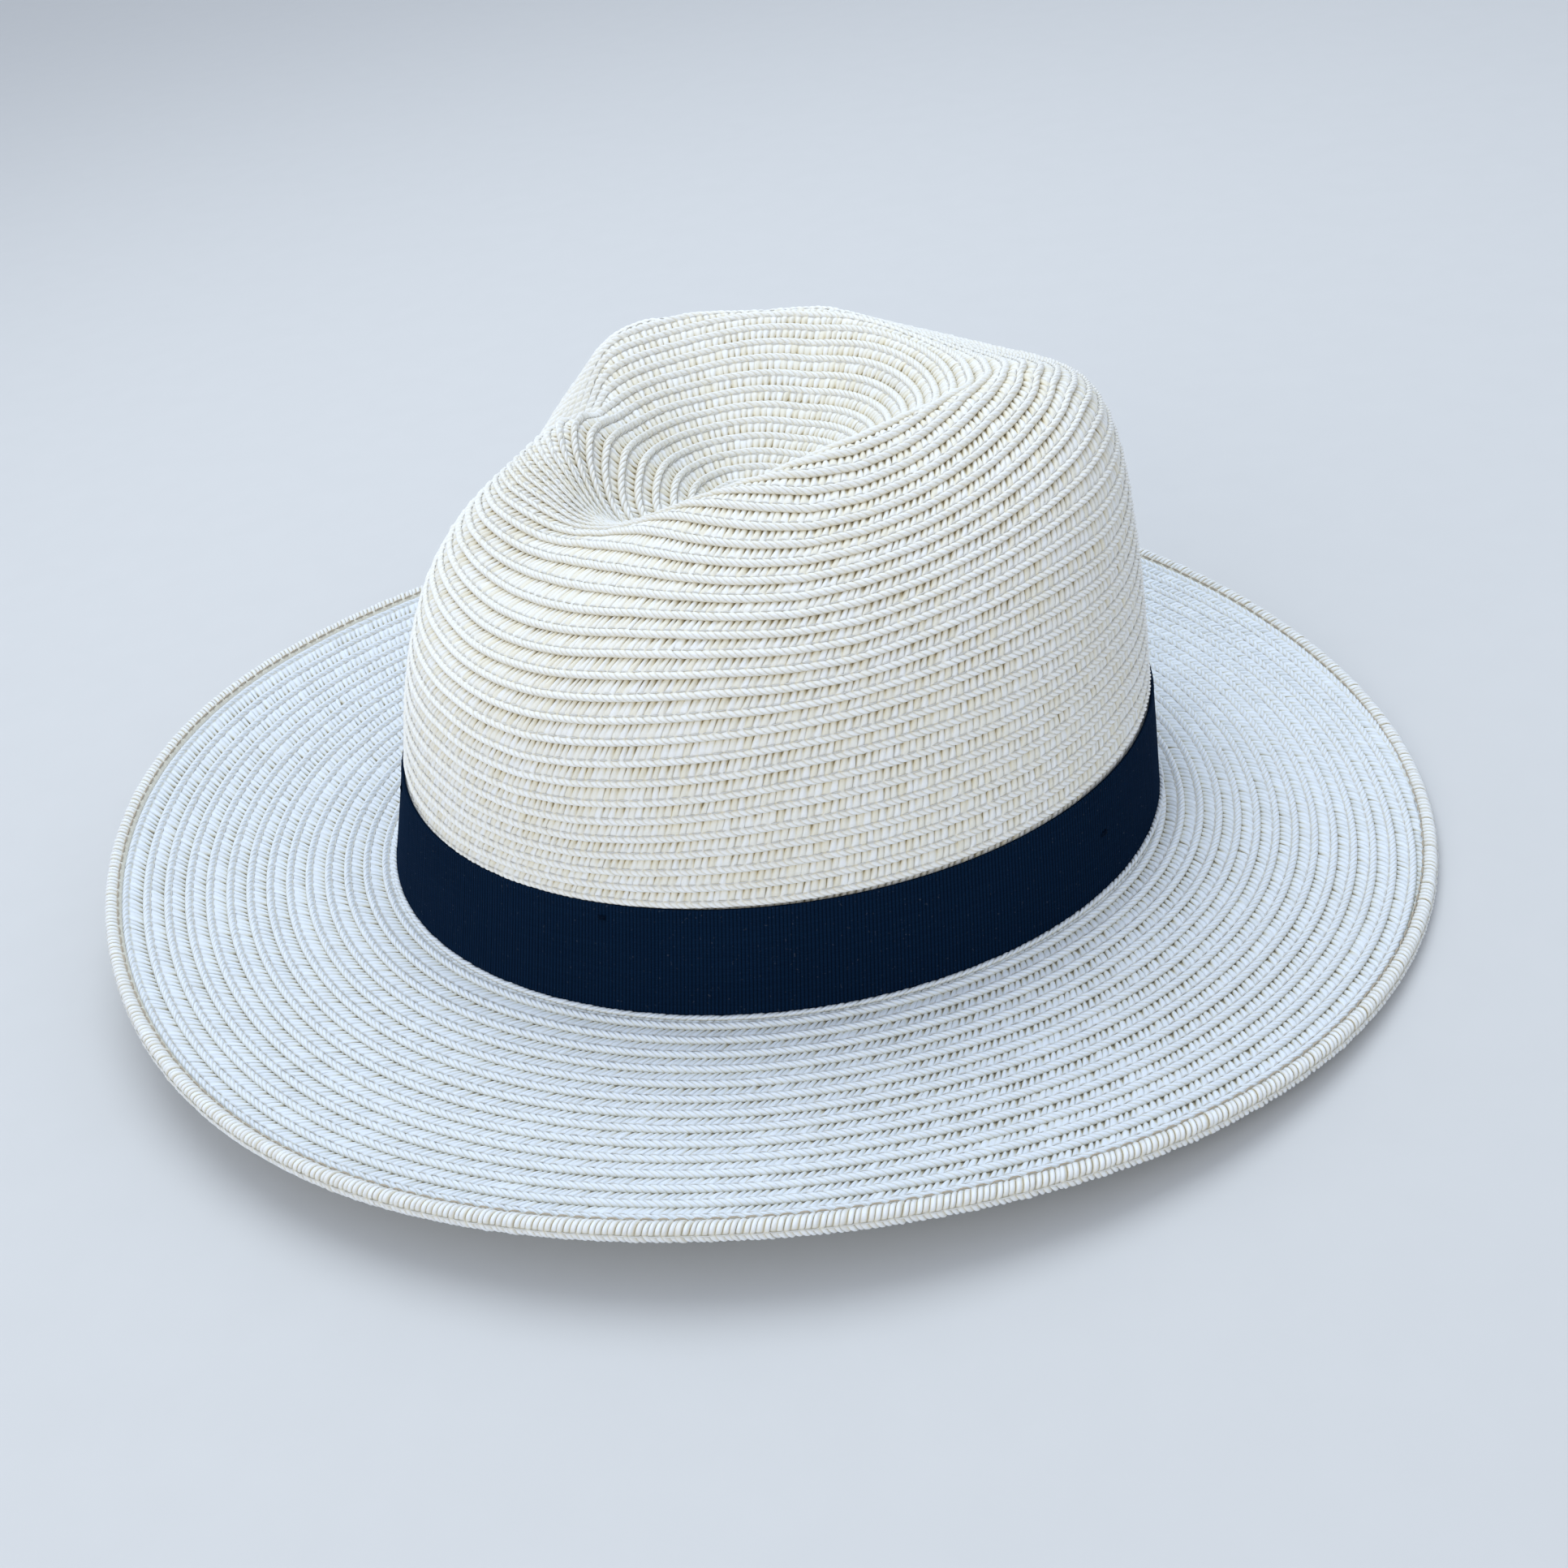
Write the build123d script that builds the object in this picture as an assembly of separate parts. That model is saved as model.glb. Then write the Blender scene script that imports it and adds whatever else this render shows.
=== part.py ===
from build123d import *
import os
import numpy as np

# Wide-brim fedora sewn from plaited paper straw, millimetres.
# +X is the front of the hat (the pinched end of the crown), +Y the wearer's left,
# +Z up.  The origin is the centre of the head opening, at the break between
# crown and brim.  Angles run round the opening from the front towards the left.

os.makedirs("parts", exist_ok=True)

# ---------------------------------------------------------------- shared dimensions
SHELL = 2.0                       # thickness of the sewn straw of the crown
LINING_INSET = SHELL * 1.08       # depth from the crown's outer face that clears the straw
GAP = 0.15                        # running clearance between neighbouring pieces
OPEN_A, OPEN_B = 105.5, 88.3      # crown outer half-length / half-width at the break
THREAD_R = 0.3                    # thick sewing thread radius
TACK_R = 0.28                     # tack stitch radius

SECTION_POINTS = 72               # points round each section
CROWN_SECTIONS = 40               # straw sections between the tip and the break
DENSE_ROWS = 900                  # rows sampled along the crown's profile splines
FINE_POINTS = 720                 # points round a finely sampled wall outline
FINE_STEP = 360 / FINE_POINTS     # degrees between them
WALL_TOP = 60.0                   # height below which the crown counts as plain wall

ANGLES = np.linspace(0, 2 * np.pi, SECTION_POINTS, endpoint=False)
FINE_ANGLES = np.linspace(0, 2 * np.pi, FINE_POINTS, endpoint=False)

# ---------------------------------------------------------------- crown shape
# Each row is one closed contour of the crown, from the break up over the rim and
# down into the dent: front x, front z, back x, back z, half-width and z on the
# wearer's left, half-width and z on the right, taper of the back end.
CONTOURS = [
    (105.5, 0.0, -105.5, 0.0, 88.3, 0.0, 88.3, 0.0, 0.0),
    (95.2, 31.0, -104.8, 31.0, 86.6, 31.0, 86.6, 31.0, 0.0),
    (88.0, 56.0, -104.0, 58.0, 84.0, 56.0, 84.5, 58.0, 0.0),
    (79.0, 79.0, -102.3, 80.0, 79.0, 78.0, 81.0, 82.0, 0.0),
    (64.5, 98.5, -99.5, 99.0, 68.5, 96.0, 74.0, 99.5, 0.1),
    (49.5, 112.0, -93.0, 113.0, 54.5, 109.0, 66.5, 111.0, 0.4),
    (40.5, 118.5, -85.0, 118.5, 45.0, 116.0, 61.0, 115.5, 0.8),
    (33.5, 121.0, -77.0, 120.5, 38.5, 119.0, 56.5, 117.0, 1.0),
    (28.0, 117.5, -70.0, 119.0, 34.0, 114.5, 50.5, 114.0, 1.0),
    (19.0, 107.5, -58.0, 114.0, 25.5, 104.0, 39.0, 105.5, 0.8),
    (8.0, 96.5, -42.0, 104.5, 15.5, 94.0, 25.0, 96.0, 0.5),
    (-2.0, 89.3, -23.0, 93.0, 7.0, 88.4, 11.0, 89.2, 0.2),
]
TIP = (-9.0, -2.0, 87.2)          # bottom of the dent
DRIFT_START, DRIFT_ROWS = 6, 6.0  # contour where the drift to the tip's y starts, its length

# Local reshaping, one row per contour: left pinch z shift and inward pull,
# right pinch z shift and inward pull, back dip z shift, right lobe swelling.
RESHAPE = [
    (0, 0, 0, 0, 0, 0),
    (0, 0, 0, 0, 0, 0),
    (-1, 0, -1, 0, 0, 0),
    (-5, 0.02, -4, 0.02, 0, 0.03),
    (-13, 0.03, -9, 0.04, -1.5, 0.10),
    (-18, 0.02, -13, 0.05, -3.0, 0.16),
    (-21, 0, -14, 0.05, -3.0, 0.22),
    (-22, 0, -12, 0.05, -3.0, 0.26),
    (-21, 0, -8, 0, -2.5, 0.24),
    (-13, 0, -3, 0, -1.5, 0.16),
    (-5, 0, -1, 0, 0, 0.08),
    (-1, 0, 0, 0, 0, 0),
]
# Centre and spread of each in degrees; the left pinch spreads wider towards the back.
PINCH_LEFT = (31, 25, 44)
PINCH_RIGHT = (-20, 15, 15)
LOBE_RIGHT = (-44, 22, 22)
DIP_BACK = (-128, 26, 26)
BACK_POWER = 1.3                  # exponent of the tapered back end
BACK_ROUND = 0.012                # rounding of its point


def bump(angles, centre, spread_below, spread_above):
    """bell curve round the hat, with its own spread on each side of the centre"""
    centre, spread_below, spread_above = np.radians((centre, spread_below, spread_above))
    delta = (angles - centre + np.pi) % (2 * np.pi) - np.pi
    return np.exp(-(delta / np.where(delta > 0, spread_above, spread_below)) ** 2)


def contours(angles):
    """points on every contour and on the tip, [contour, angle, xyz]"""
    cos, sin = np.cos(angles), np.sin(angles)
    left, right = bump(angles, *PINCH_LEFT), bump(angles, *PINCH_RIGHT)
    lobe, dip = bump(angles, *LOBE_RIGHT), bump(angles, *DIP_BACK)
    rows = []
    for j, (contour, reshape) in enumerate(zip(CONTOURS, RESHAPE)):
        x_front, z_front, x_back, z_back, half_l, z_left, half_r, z_right, taper = contour
        left_z, left_pull, right_z, right_pull, dip_z, swelling = reshape
        x_mid, half_length = (x_front + x_back) / 2, (x_front - x_back) / 2
        half_width = np.where(sin > 0, half_l, half_r)
        z = (np.where(cos > 0, z_front, z_back) * cos * cos
             + np.where(sin > 0, z_left, z_right) * sin * sin)
        scale = 1 - left_pull * left - right_pull * right + swelling * lobe
        width = np.abs(sin)
        point = 1 - np.abs(cos) ** BACK_POWER
        point = np.sqrt(point * point + BACK_ROUND * width) / np.sqrt(1 + BACK_ROUND)
        width = np.where(cos < 0, (1 - taper) * width + taper * point, width)
        x = x_mid + half_length * cos * scale
        y = (half_width * np.sign(sin) * width * scale
             + TIP[1] * max(0, (j - DRIFT_START) / DRIFT_ROWS))
        z = z + left_z * left + right_z * right + dip_z * dip
        rows.append(np.stack([x, y, z], -1))
    rows.append(np.tile(np.array(TIP), (len(angles), 1)))
    return np.array(rows)


def spline_moments(knots, values):
    """second derivatives of the natural cubic spline at its knots"""
    count, step = len(knots), np.diff(knots)
    matrix, rhs = np.zeros((count, count)), np.zeros(values.shape)
    matrix[0, 0] = matrix[-1, -1] = 1
    for i in range(1, count - 1):
        matrix[i, i - 1:i + 2] = step[i - 1], 2 * (step[i - 1] + step[i]), step[i]
        rhs[i] = 6 * ((values[i + 1] - values[i]) / step[i]
                      - (values[i] - values[i - 1]) / step[i - 1])
    return np.linalg.solve(matrix, rhs.reshape(count, -1)).reshape(values.shape)


def spline_at(knots, values, query):
    """natural cubic spline through the values, read at the query positions"""
    moments = spline_moments(knots, values)
    i = np.clip(np.searchsorted(knots, query) - 1, 0, len(knots) - 2)
    column = (len(query),) + (1,) * (values.ndim - 1)
    step = (knots[i + 1] - knots[i]).reshape(column)
    a = (knots[i + 1] - query).reshape(column) / step
    b = (query - knots[i]).reshape(column) / step
    return (a * values[i] + b * values[i + 1]
            + ((a ** 3 - a) * moments[i] + (b ** 3 - b) * moments[i + 1]) * step * step / 6)


def crown_dense(angles):
    """outer face of the crown in many rows, from the break to the tip"""
    rows = contours(angles)
    spacing = np.linalg.norm(np.diff(rows, axis=0), axis=-1).mean(1)
    knots = np.r_[0, np.cumsum(spacing)]
    return spline_at(knots, rows, np.linspace(0, knots[-1], DENSE_ROWS))


WALL = crown_dense(ANGLES)
FINE_WALL = crown_dense(FINE_ANGLES)


def crown_surface(rows):
    """outer face of the crown, [row, angle, xyz], evenly spaced from tip to break"""
    dense = WALL[::-1]
    steps = np.linalg.norm(np.diff(dense, axis=0), axis=-1)
    length = np.r_[np.zeros((1, SECTION_POINTS)), np.cumsum(steps, axis=0)]
    fractions = np.linspace(0, 1, rows)
    grid = np.empty((rows, SECTION_POINTS, 3))
    for k in range(SECTION_POINTS):
        for c in range(3):
            grid[:, k, c] = np.interp(fractions * length[-1, k], length[:, k], dense[:, k, c])
    return grid


def normalized(vectors):
    return vectors / np.linalg.norm(vectors, axis=-1, keepdims=True)


def crown_normals(grid):
    """unit normals of the crown grid, pointing outwards"""
    down = np.gradient(grid, axis=0)
    around = (np.roll(grid, -1, axis=1) - np.roll(grid, 1, axis=1)) / 2
    normal = np.cross(down, around)
    # the small term keeps the tip row, where all points coincide, from dividing by zero
    normal /= np.linalg.norm(normal, axis=-1, keepdims=True) + 1e-12
    normal[0] = normalized(normal[1].mean(0))
    return normal


def wall_oval(z, offset=0.0, wall=WALL):
    """horizontal outline of the crown wall at height z, moved outwards by offset"""
    count = wall.shape[1]
    x, y = np.empty(count), np.empty(count)
    for k in range(count):
        n = int(np.argmax(wall[:, k, 2] > WALL_TOP))
        x[k] = np.interp(z, wall[:n, k, 2], wall[:n, k, 0])
        y[k] = np.interp(z, wall[:n, k, 2], wall[:n, k, 1])
    dx = np.gradient(np.r_[x[-2:], x, x[:2]])[2:-2]
    dy = np.gradient(np.r_[y[-2:], y, y[:2]])[2:-2]
    length = np.hypot(dx, dy)
    return np.stack([x + offset * dy / length, y - offset * dx / length, 0 * x + z], -1)


def wall_frame(degrees, z, offset):
    """point, tangent and outward normal on the wall outline"""
    oval = wall_oval(z, offset, FINE_WALL)
    k = int(round(degrees / FINE_STEP)) % FINE_POINTS
    tangent = normalized(oval[(k + 1) % FINE_POINTS] - oval[k - 1])
    return vec(oval[k]), vec(tangent), Vector(float(tangent[1]), -float(tangent[0]), 0)


# ---------------------------------------------------------------- solid helpers
def vec(point):
    return Vector(*map(float, point))


def outward(solid):
    """the solid with its faces turned to give a positive volume"""
    return solid if solid.volume > 0 else Solid(solid.wrapped.Reversed())


def solid_of(faces):
    return outward(Solid(Shell(faces)))


def closed_wire(points):
    parameters = [i / len(points) for i in range(len(points) + 1)]
    return Wire([Edge.make_spline([vec(p) for p in points], periodic=True,
                                  parameters=parameters)])


def poly_wire(points):
    corners = [vec(p) for p in points]
    return Wire([Edge.make_line(a, b) for a, b in zip(corners, corners[1:] + corners[:1])])


def loft_faces(rings, ruled=False):
    return list(Shell.make_loft([closed_wire(r) for r in rings], ruled).faces())


def layer_solid(side_a, side_b):
    """closed layer between two smooth sides, with ruled strips along both rims"""
    return solid_of(loft_faces(side_a) + loft_faces(side_b)
                    + loft_faces([side_a[0], side_b[0]], True)
                    + loft_faces([side_a[-1], side_b[-1]], True))


def ring_solid(rings):
    """closed ring from the corner curves of its cross section, taken in order"""
    wires = [closed_wire(r) for r in rings]
    faces = []
    for i in range(len(wires)):
        faces += list(Shell.make_loft([wires[i], wires[(i + 1) % len(wires)]], True).faces())
    return solid_of(faces)


def ring_frame(path):
    """tangent, outward and upward directions along a closed path"""
    tangent = normalized(np.roll(path, -1, axis=0) - np.roll(path, 1, axis=0))
    up = normalized(np.array([0, 0, 1.0]) - tangent[:, 2:3] * tangent)
    return tangent, np.cross(tangent, up), up


def facet_tube(path, radius):
    """eight-sided ring along a closed path"""
    _, out, up = ring_frame(path)
    return ring_solid([path + radius * (np.cos(a) * out + np.sin(a) * up)
                       for a in np.linspace(0, 2 * np.pi, 8, endpoint=False)])


def cylinder(start, direction, radius, length):
    return Solid.make_cylinder(radius, length, Plane(origin=start, z_dir=direction))


def rod(start, end, radius):
    return cylinder(start, end - start, radius, (end - start).length)


def ball(centre, radius):
    return Solid.make_sphere(radius, Plane(origin=centre), -90, 90, 360)


def tack(centre, direction, length):
    return cylinder(centre - direction * (length / 2), direction, TACK_R, length)


def save(name, shape):
    export_step(shape, "parts/" + name + ".step")


# ---------------------------------------------------------------- crown straw
def dome_faces(grid):
    """faces of a dome and the wire round its foot"""
    sections = [Vertex(*map(float, grid[0, 0]))] + [closed_wire(row) for row in grid[1:]]
    return list(Shell.make_loft(sections, False).faces()), sections[-1]


def crown_braid():
    outer = crown_surface(CROWN_SECTIONS + 1)
    normal = crown_normals(outer)
    inner = outer - SHELL * normal
    # the inner foot lies flat in the plane of the break
    inner[-1, :, :2] = outer[-1, :, :2] - normalized(normal[-1, :, :2]) * SHELL * 1.04
    inner[-1, :, 2] = 0.0
    outer_faces, outer_foot = dome_faces(outer)
    inner_faces, inner_foot = dome_faces(inner)
    return solid_of(outer_faces + inner_faces + [Face(outer_foot, [inner_foot])])


save("crown_braid", crown_braid())

# ---------------------------------------------------------------- brim straw
BRIM_T = 2.2                      # thickness of the sewn straw of the brim
BRIM_A, BRIM_B, BRIM_X0 = 180.6, 158.0, 4.1   # edge half-length, half-width, x offset
BRIM_W = (BRIM_A - OPEN_A + BRIM_B - OPEN_B) / 2   # mean width of the brim
BRIM_SAG = 2.2                    # sag between break and edge
EDGE_R = 2.3                      # outer radius of the folded edge course
BRIM_END = 1 - (2 * EDGE_R + GAP + 0.3) / BRIM_W   # where the flat straw stops


def edge_z(angles):
    """height of the brim edge round the hat"""
    return (3.70 + 11.61 * np.cos(angles) - 3.07 * np.cos(2 * angles)
            - 4.71 * np.sin(angles) - 1.48 * np.sin(2 * angles)
            + 2.91 * np.cos(3 * angles) + 1.46 * np.cos(4 * angles))


def brim_top(v):
    """ring on the top face of the brim, v = 0 at the break, 1 at the edge"""
    x = (OPEN_A * (1 - v) + BRIM_A * v) * np.cos(ANGLES) + BRIM_X0 * v
    y = (OPEN_B * (1 - v) + BRIM_B * v) * np.sin(ANGLES)
    z = edge_z(ANGLES) * v ** 1.5 - BRIM_SAG * np.sin(np.pi * v) * v ** 0.5 - GAP
    return np.stack([x, y, z], -1)


def brim_normals(v):
    """upward unit normals of the brim's top face"""
    step = 1e-3
    across = brim_top(v + step) - brim_top(v - step)
    ring = brim_top(v)
    around = np.roll(ring, -1, axis=0) - np.roll(ring, 1, axis=0)
    return normalized(np.cross(across, around))


def brim_braid():
    mouth = brim_top(0.0)
    # a flat ledge runs in under the crown wall
    ledge = mouth * [1 - SHELL / OPEN_A, 1 - SHELL / OPEN_B, 1]
    top = [ledge, mouth]
    bottom = [ring - [0, 0, BRIM_T] for ring in top]
    for v in np.linspace(0, BRIM_END, 13)[1:]:
        top.append(brim_top(v))
        bottom.append(top[-1] - BRIM_T * brim_normals(v))
    return layer_solid(top, bottom)


save("brim_braid", brim_braid())

# ---------------------------------------------------------------- folded edge, wire, stitching
EDGE_CAVITY_R = 1.15              # inner radius of the fold
EDGE_SLOT = 6                     # half-angle of the fold's open side, degrees
WIRE_R = 0.5                      # brim wire radius
SLEEVE_R, SLEEVE_BORE_R, SLEEVE_L = 0.92, 0.67, 12
EDGE_STITCH_R = EDGE_R + THREAD_R + 0.12
EDGE_STITCH_ANGLE = 52            # stitch rows above and below the open side, degrees

EDGE_V = 1 - EDGE_R / BRIM_W
EDGE_MID = brim_top(EDGE_V) - BRIM_T / 2 * brim_normals(EDGE_V)
EDGE_TANGENT, EDGE_OUT, EDGE_UP = ring_frame(EDGE_MID)


def edge_at(radius, degrees):
    """ring about the edge's centre line; 0 degrees faces the crown, 90 up"""
    a = np.radians(degrees)
    return EDGE_MID + radius * (-np.cos(a) * EDGE_OUT + np.sin(a) * EDGE_UP)


def brim_edge_braid():
    start, end = EDGE_SLOT, 360 - EDGE_SLOT
    outer = [edge_at(EDGE_R, d) for d in np.linspace(start, end, 17)]
    inner = [edge_at(EDGE_CAVITY_R, d) for d in np.linspace(end, start, 13)]
    return solid_of(loft_faces(outer) + loft_faces([outer[-1], inner[0]], True)
                    + loft_faces(inner) + loft_faces([inner[-1], outer[0]], True))


def brim_wire_sleeve():
    """short tube round the wire at the back of the hat"""
    back = SECTION_POINTS // 2
    along = vec(EDGE_TANGENT[back])
    start = vec(EDGE_MID[back]) - along * (SLEEVE_L / 2)
    return (cylinder(start, along, SLEEVE_R, SLEEVE_L)
            - cylinder(start, along, SLEEVE_BORE_R, SLEEVE_L))


save("brim_edge_braid", brim_edge_braid())
save("brim_edge_wire", facet_tube(EDGE_MID, WIRE_R))
save("brim_wire_sleeve", brim_wire_sleeve())
save("brim_edge_stitching", Compound([
    facet_tube(edge_at(EDGE_STITCH_R, degrees), THREAD_R)
    for degrees in (EDGE_STITCH_ANGLE, -EDGE_STITCH_ANGLE)]))

# ---------------------------------------------------------------- seam between crown and brim
SEAM_Z = 0.45

save("crown_brim_seam_thread", facet_tube(wall_oval(SEAM_Z, -(LINING_INSET + 0.5)), THREAD_R))

# ---------------------------------------------------------------- hatband
BAND_H = 31.0                     # height of the grosgrain hatband
BAND_T = 0.85                     # thickness of the hatband
BAND_Z0 = 0.1                     # lower edge
BAND_FACE = GAP + BAND_T          # offset of its outer face from the crown
BAND_LEVELS = [8.0, 16.0, 24.0]   # sections between the lower and upper edges
KEEPER_W, KEEPER_X, KEEPER_T = 20.0, 4.0, 0.8   # width, middle x, thickness
KEEPER_OFFSET = BAND_FACE + 0.12
# angle in degrees and height of each tack
BAND_TACKS = [(20.0, 27.5), (75.0, 27.5), (151.0, 17.0),
              (205.0, 27.5), (255.0, 27.5), (315.0, 27.5)]


def hatband_ribbon():
    levels = [BAND_Z0] + BAND_LEVELS + [BAND_Z0 + BAND_H]
    return layer_solid([wall_oval(z, GAP) for z in levels],
                       [wall_oval(z, BAND_FACE) for z in levels])


def right_wall_y(x, z, offset):
    """y of the wall outline on the wearer's right"""
    oval = wall_oval(z, offset, FINE_WALL)
    side = oval[oval[:, 1] < 0]
    side = side[np.argsort(side[:, 0])]
    return float(np.interp(x, side[:, 0], side[:, 1]))


def hatband_keeper():
    """upright loop over the band on the wearer's right"""
    levels = [0.15] + BAND_LEVELS + [BAND_H + 0.55]
    sections = []
    for x in np.linspace(KEEPER_X - KEEPER_W / 2, KEEPER_X + KEEPER_W / 2, 5):
        inner = [(x, right_wall_y(x, z, KEEPER_OFFSET), z) for z in levels]
        outer = [(x, right_wall_y(x, z, KEEPER_OFFSET + KEEPER_T), z)
                 for z in reversed(levels)]
        sections.append(poly_wire(inner + outer))
    return outward(Solid.make_loft(sections))


def hatband_tacks():
    tacks = []
    for degrees, z in BAND_TACKS:
        point, tangent, _ = wall_frame(degrees, z, BAND_FACE + 0.45)
        tacks.append(tack(point, tangent, 2.2))
    return Compound(tacks)


save("hatband_ribbon", hatband_ribbon())
save("hatband_keeper", hatband_keeper())
save("hatband_tack_stitches", hatband_tacks())

# ---------------------------------------------------------------- sweatband with cord channel
SWEAT_H = 31.0                    # height of the top of the sweatband
SWEAT_T = 0.8                     # thickness of the sweatband tape
SWEAT_OFFSET = -(LINING_INSET + 0.25)   # offset of its outer face from the crown
HEM_D = 4.0                       # depth of the hem that holds the drawcord
HEM_FACE = SWEAT_OFFSET - HEM_D   # offset of the hem's inner face
SWEAT_STITCH_Z = 15.0
EYE_Y = 13.0                      # eyelets sit at +-EYE_Y from the back centre
EYE_Z = 7.0                       # height of the eyelets and of the drawcord
EYE_CUT_R = 1.9                   # hole through the tape
EYE_CUT_DEPTH = 1.2               # start of the holes behind the hem face
FLANGE_R, FLANGE_T, FLANGE_GAP = 2.7, 0.5, 0.12
BARREL_R, BARREL_L, BARREL_DEPTH = 1.75, 0.87, 0.6
EYE_BORE_R = 1.2

# Cross sections: depth towards the head from the outer face, height
SWEAT_PROFILE = [
    (0, 1.0), (0, 12.0), (0, 22.0), (0, SWEAT_H), (SWEAT_T, SWEAT_H), (SWEAT_T, 22.0),
    (SWEAT_T + 0.1, 13.0), (3.5, 10.4), (HEM_D, 8.8), (HEM_D, 4.4), (3.4, 2.0), (1.8, 1.0),
]
CHANNEL_PROFILE = [
    (SWEAT_T, 2.6), (SWEAT_T, 11.6), (2.9, 9.8), (HEM_D - SWEAT_T, 8.6),
    (HEM_D - SWEAT_T, 4.5), (2.8, 2.9), (1.9, 1.9),
]


def eye_frame(side):
    """eyelet centre on the hem face, direction towards the head, angle in degrees"""
    oval = wall_oval(EYE_Z, HEM_FACE, FINE_WALL)
    # the large term rules out the front half of the outline
    k = int(np.argmin(np.abs(oval[:, 1] - side * EYE_Y) + 1e3 * (oval[:, 0] > 0)))
    degrees = k * FINE_STEP
    point, _, normal = wall_frame(degrees, EYE_Z, HEM_FACE)
    return point, normal * -1, degrees


EYES = [eye_frame(side) for side in (1, -1)]


def profile_ring(profile):
    return ring_solid([wall_oval(z, SWEAT_OFFSET - depth) for depth, z in profile])


def sweatband():
    band = profile_ring(SWEAT_PROFILE) - profile_ring(CHANNEL_PROFILE)
    for point, inward, _ in EYES:
        band = band - cylinder(point - inward * EYE_CUT_DEPTH, inward, EYE_CUT_R, 2.0)
    return band


def eyelet(point, inward):
    flange = cylinder(point + inward * FLANGE_GAP, inward, FLANGE_R, FLANGE_T)
    barrel = cylinder(point - inward * BARREL_DEPTH, inward, BARREL_R, BARREL_L)
    bore = cylinder(point - inward * EYE_CUT_DEPTH, inward, EYE_BORE_R, 3.0)
    return flange + barrel - bore


save("sweatband", sweatband())
save("sweatband_stitching",
     facet_tube(wall_oval(SWEAT_STITCH_Z, SWEAT_OFFSET - SWEAT_T - 0.55), THREAD_R))
save("sweatband_eyelets", Compound([eyelet(point, inward) for point, inward, _ in EYES]))

# ---------------------------------------------------------------- drawcord
CORD_R = 1.0                      # drawcord radius
CORD_DEPTH = HEM_D / 2            # cord centre line behind the hem face
STUB_OUT = 0.45                   # cord ends stand this far out of the hem face
TAIL_START = 1.75                 # start of the tied ends in front of the hem face
KNOT_R = 2.5
TAIL_END_R = 1.7


def size_drawcord():
    """cord lying in the channel, both ends brought out through the eyelets"""
    oval = wall_oval(EYE_Z, HEM_FACE + CORD_DEPTH, FINE_WALL)
    # from the left eyelet round the front to the right one
    angles = np.linspace(EYES[0][2], EYES[1][2] - 360.0, 61)
    path = Edge.make_spline([vec(oval[int(round(a / FINE_STEP)) % FINE_POINTS])
                             for a in angles])
    section = Wire.make_circle(CORD_R, Plane(origin=path.position_at(0),
                                             z_dir=path.tangent_at(0)))
    cord = Solid.sweep(Face(section), path)
    for point, inward, _ in EYES:
        cord = cord + cylinder(point - inward * CORD_DEPTH, inward, CORD_R,
                               CORD_DEPTH + STUB_OUT)
    return cord


def drawcord_knot():
    """the tied ends: a knot with two tails rising from it"""
    starts = [point + inward * TAIL_START for point, inward, _ in EYES]
    x = (starts[0].X + starts[1].X) / 2
    knot = Vector(x + 2.6, 0, EYE_Z + 1.0)
    bow = ball(knot, KNOT_R)
    for start, side in zip(starts, (1, -1)):
        bend = Vector(x + 3.4, side * 6.0, EYE_Z + 9.0)
        end = Vector(x + 3.2, side * 8.5, EYE_Z + 20.0)
        bow = bow + ball(start, CORD_R) + rod(start, knot, CORD_R)
        bow = bow + rod(knot, bend, CORD_R) + ball(bend, CORD_R)
        bow = bow + rod(bend, end, CORD_R) + ball(end, TAIL_END_R)
    return bow


save("size_drawcord", size_drawcord())
save("drawcord_knot", drawcord_knot())

# ---------------------------------------------------------------- care label
LABEL_W, LABEL_H, LABEL_T = 26.0, 21.0, 0.5
LABEL_ANGLE = 140.0               # position round the opening, degrees from the front
LABEL_Z = SWEAT_H + 0.5           # lower edge, just above the sweatband
LABEL_INSET = LINING_INSET + 2.0  # depth inside the crown's outer face
LABEL_TACK_X = 8.0                # tacks either side of the label's middle
LABEL_TACK_DROP = 0.6             # tacks below the label's lower edge


def label_frame():
    """middle of the lower edge, directions along it and up the sloping wall"""
    low, along, normal = wall_frame(LABEL_ANGLE, LABEL_Z, 0.0)
    high, _, _ = wall_frame(LABEL_ANGLE, LABEL_Z + LABEL_H, 0.0)
    rise = high - low
    rise = (rise - along * rise.dot(along)).normalized()
    return low - normal * LABEL_INSET, along, rise


def care_label(base, along, rise):
    return Solid.make_box(LABEL_W, LABEL_T, LABEL_H, Plane(
        origin=base - along * (LABEL_W / 2), x_dir=along, z_dir=rise))


def care_label_tacks(base, along, rise):
    middle = base - rise * LABEL_TACK_DROP + rise.cross(along) * (LABEL_T / 2)
    return Compound([tack(middle + along * (side * LABEL_TACK_X), along, 3.0)
                     for side in (-1, 1)])


save("care_label", care_label(*label_frame()))
save("care_label_tacks", care_label_tacks(*label_frame()))
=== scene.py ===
import math

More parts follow.
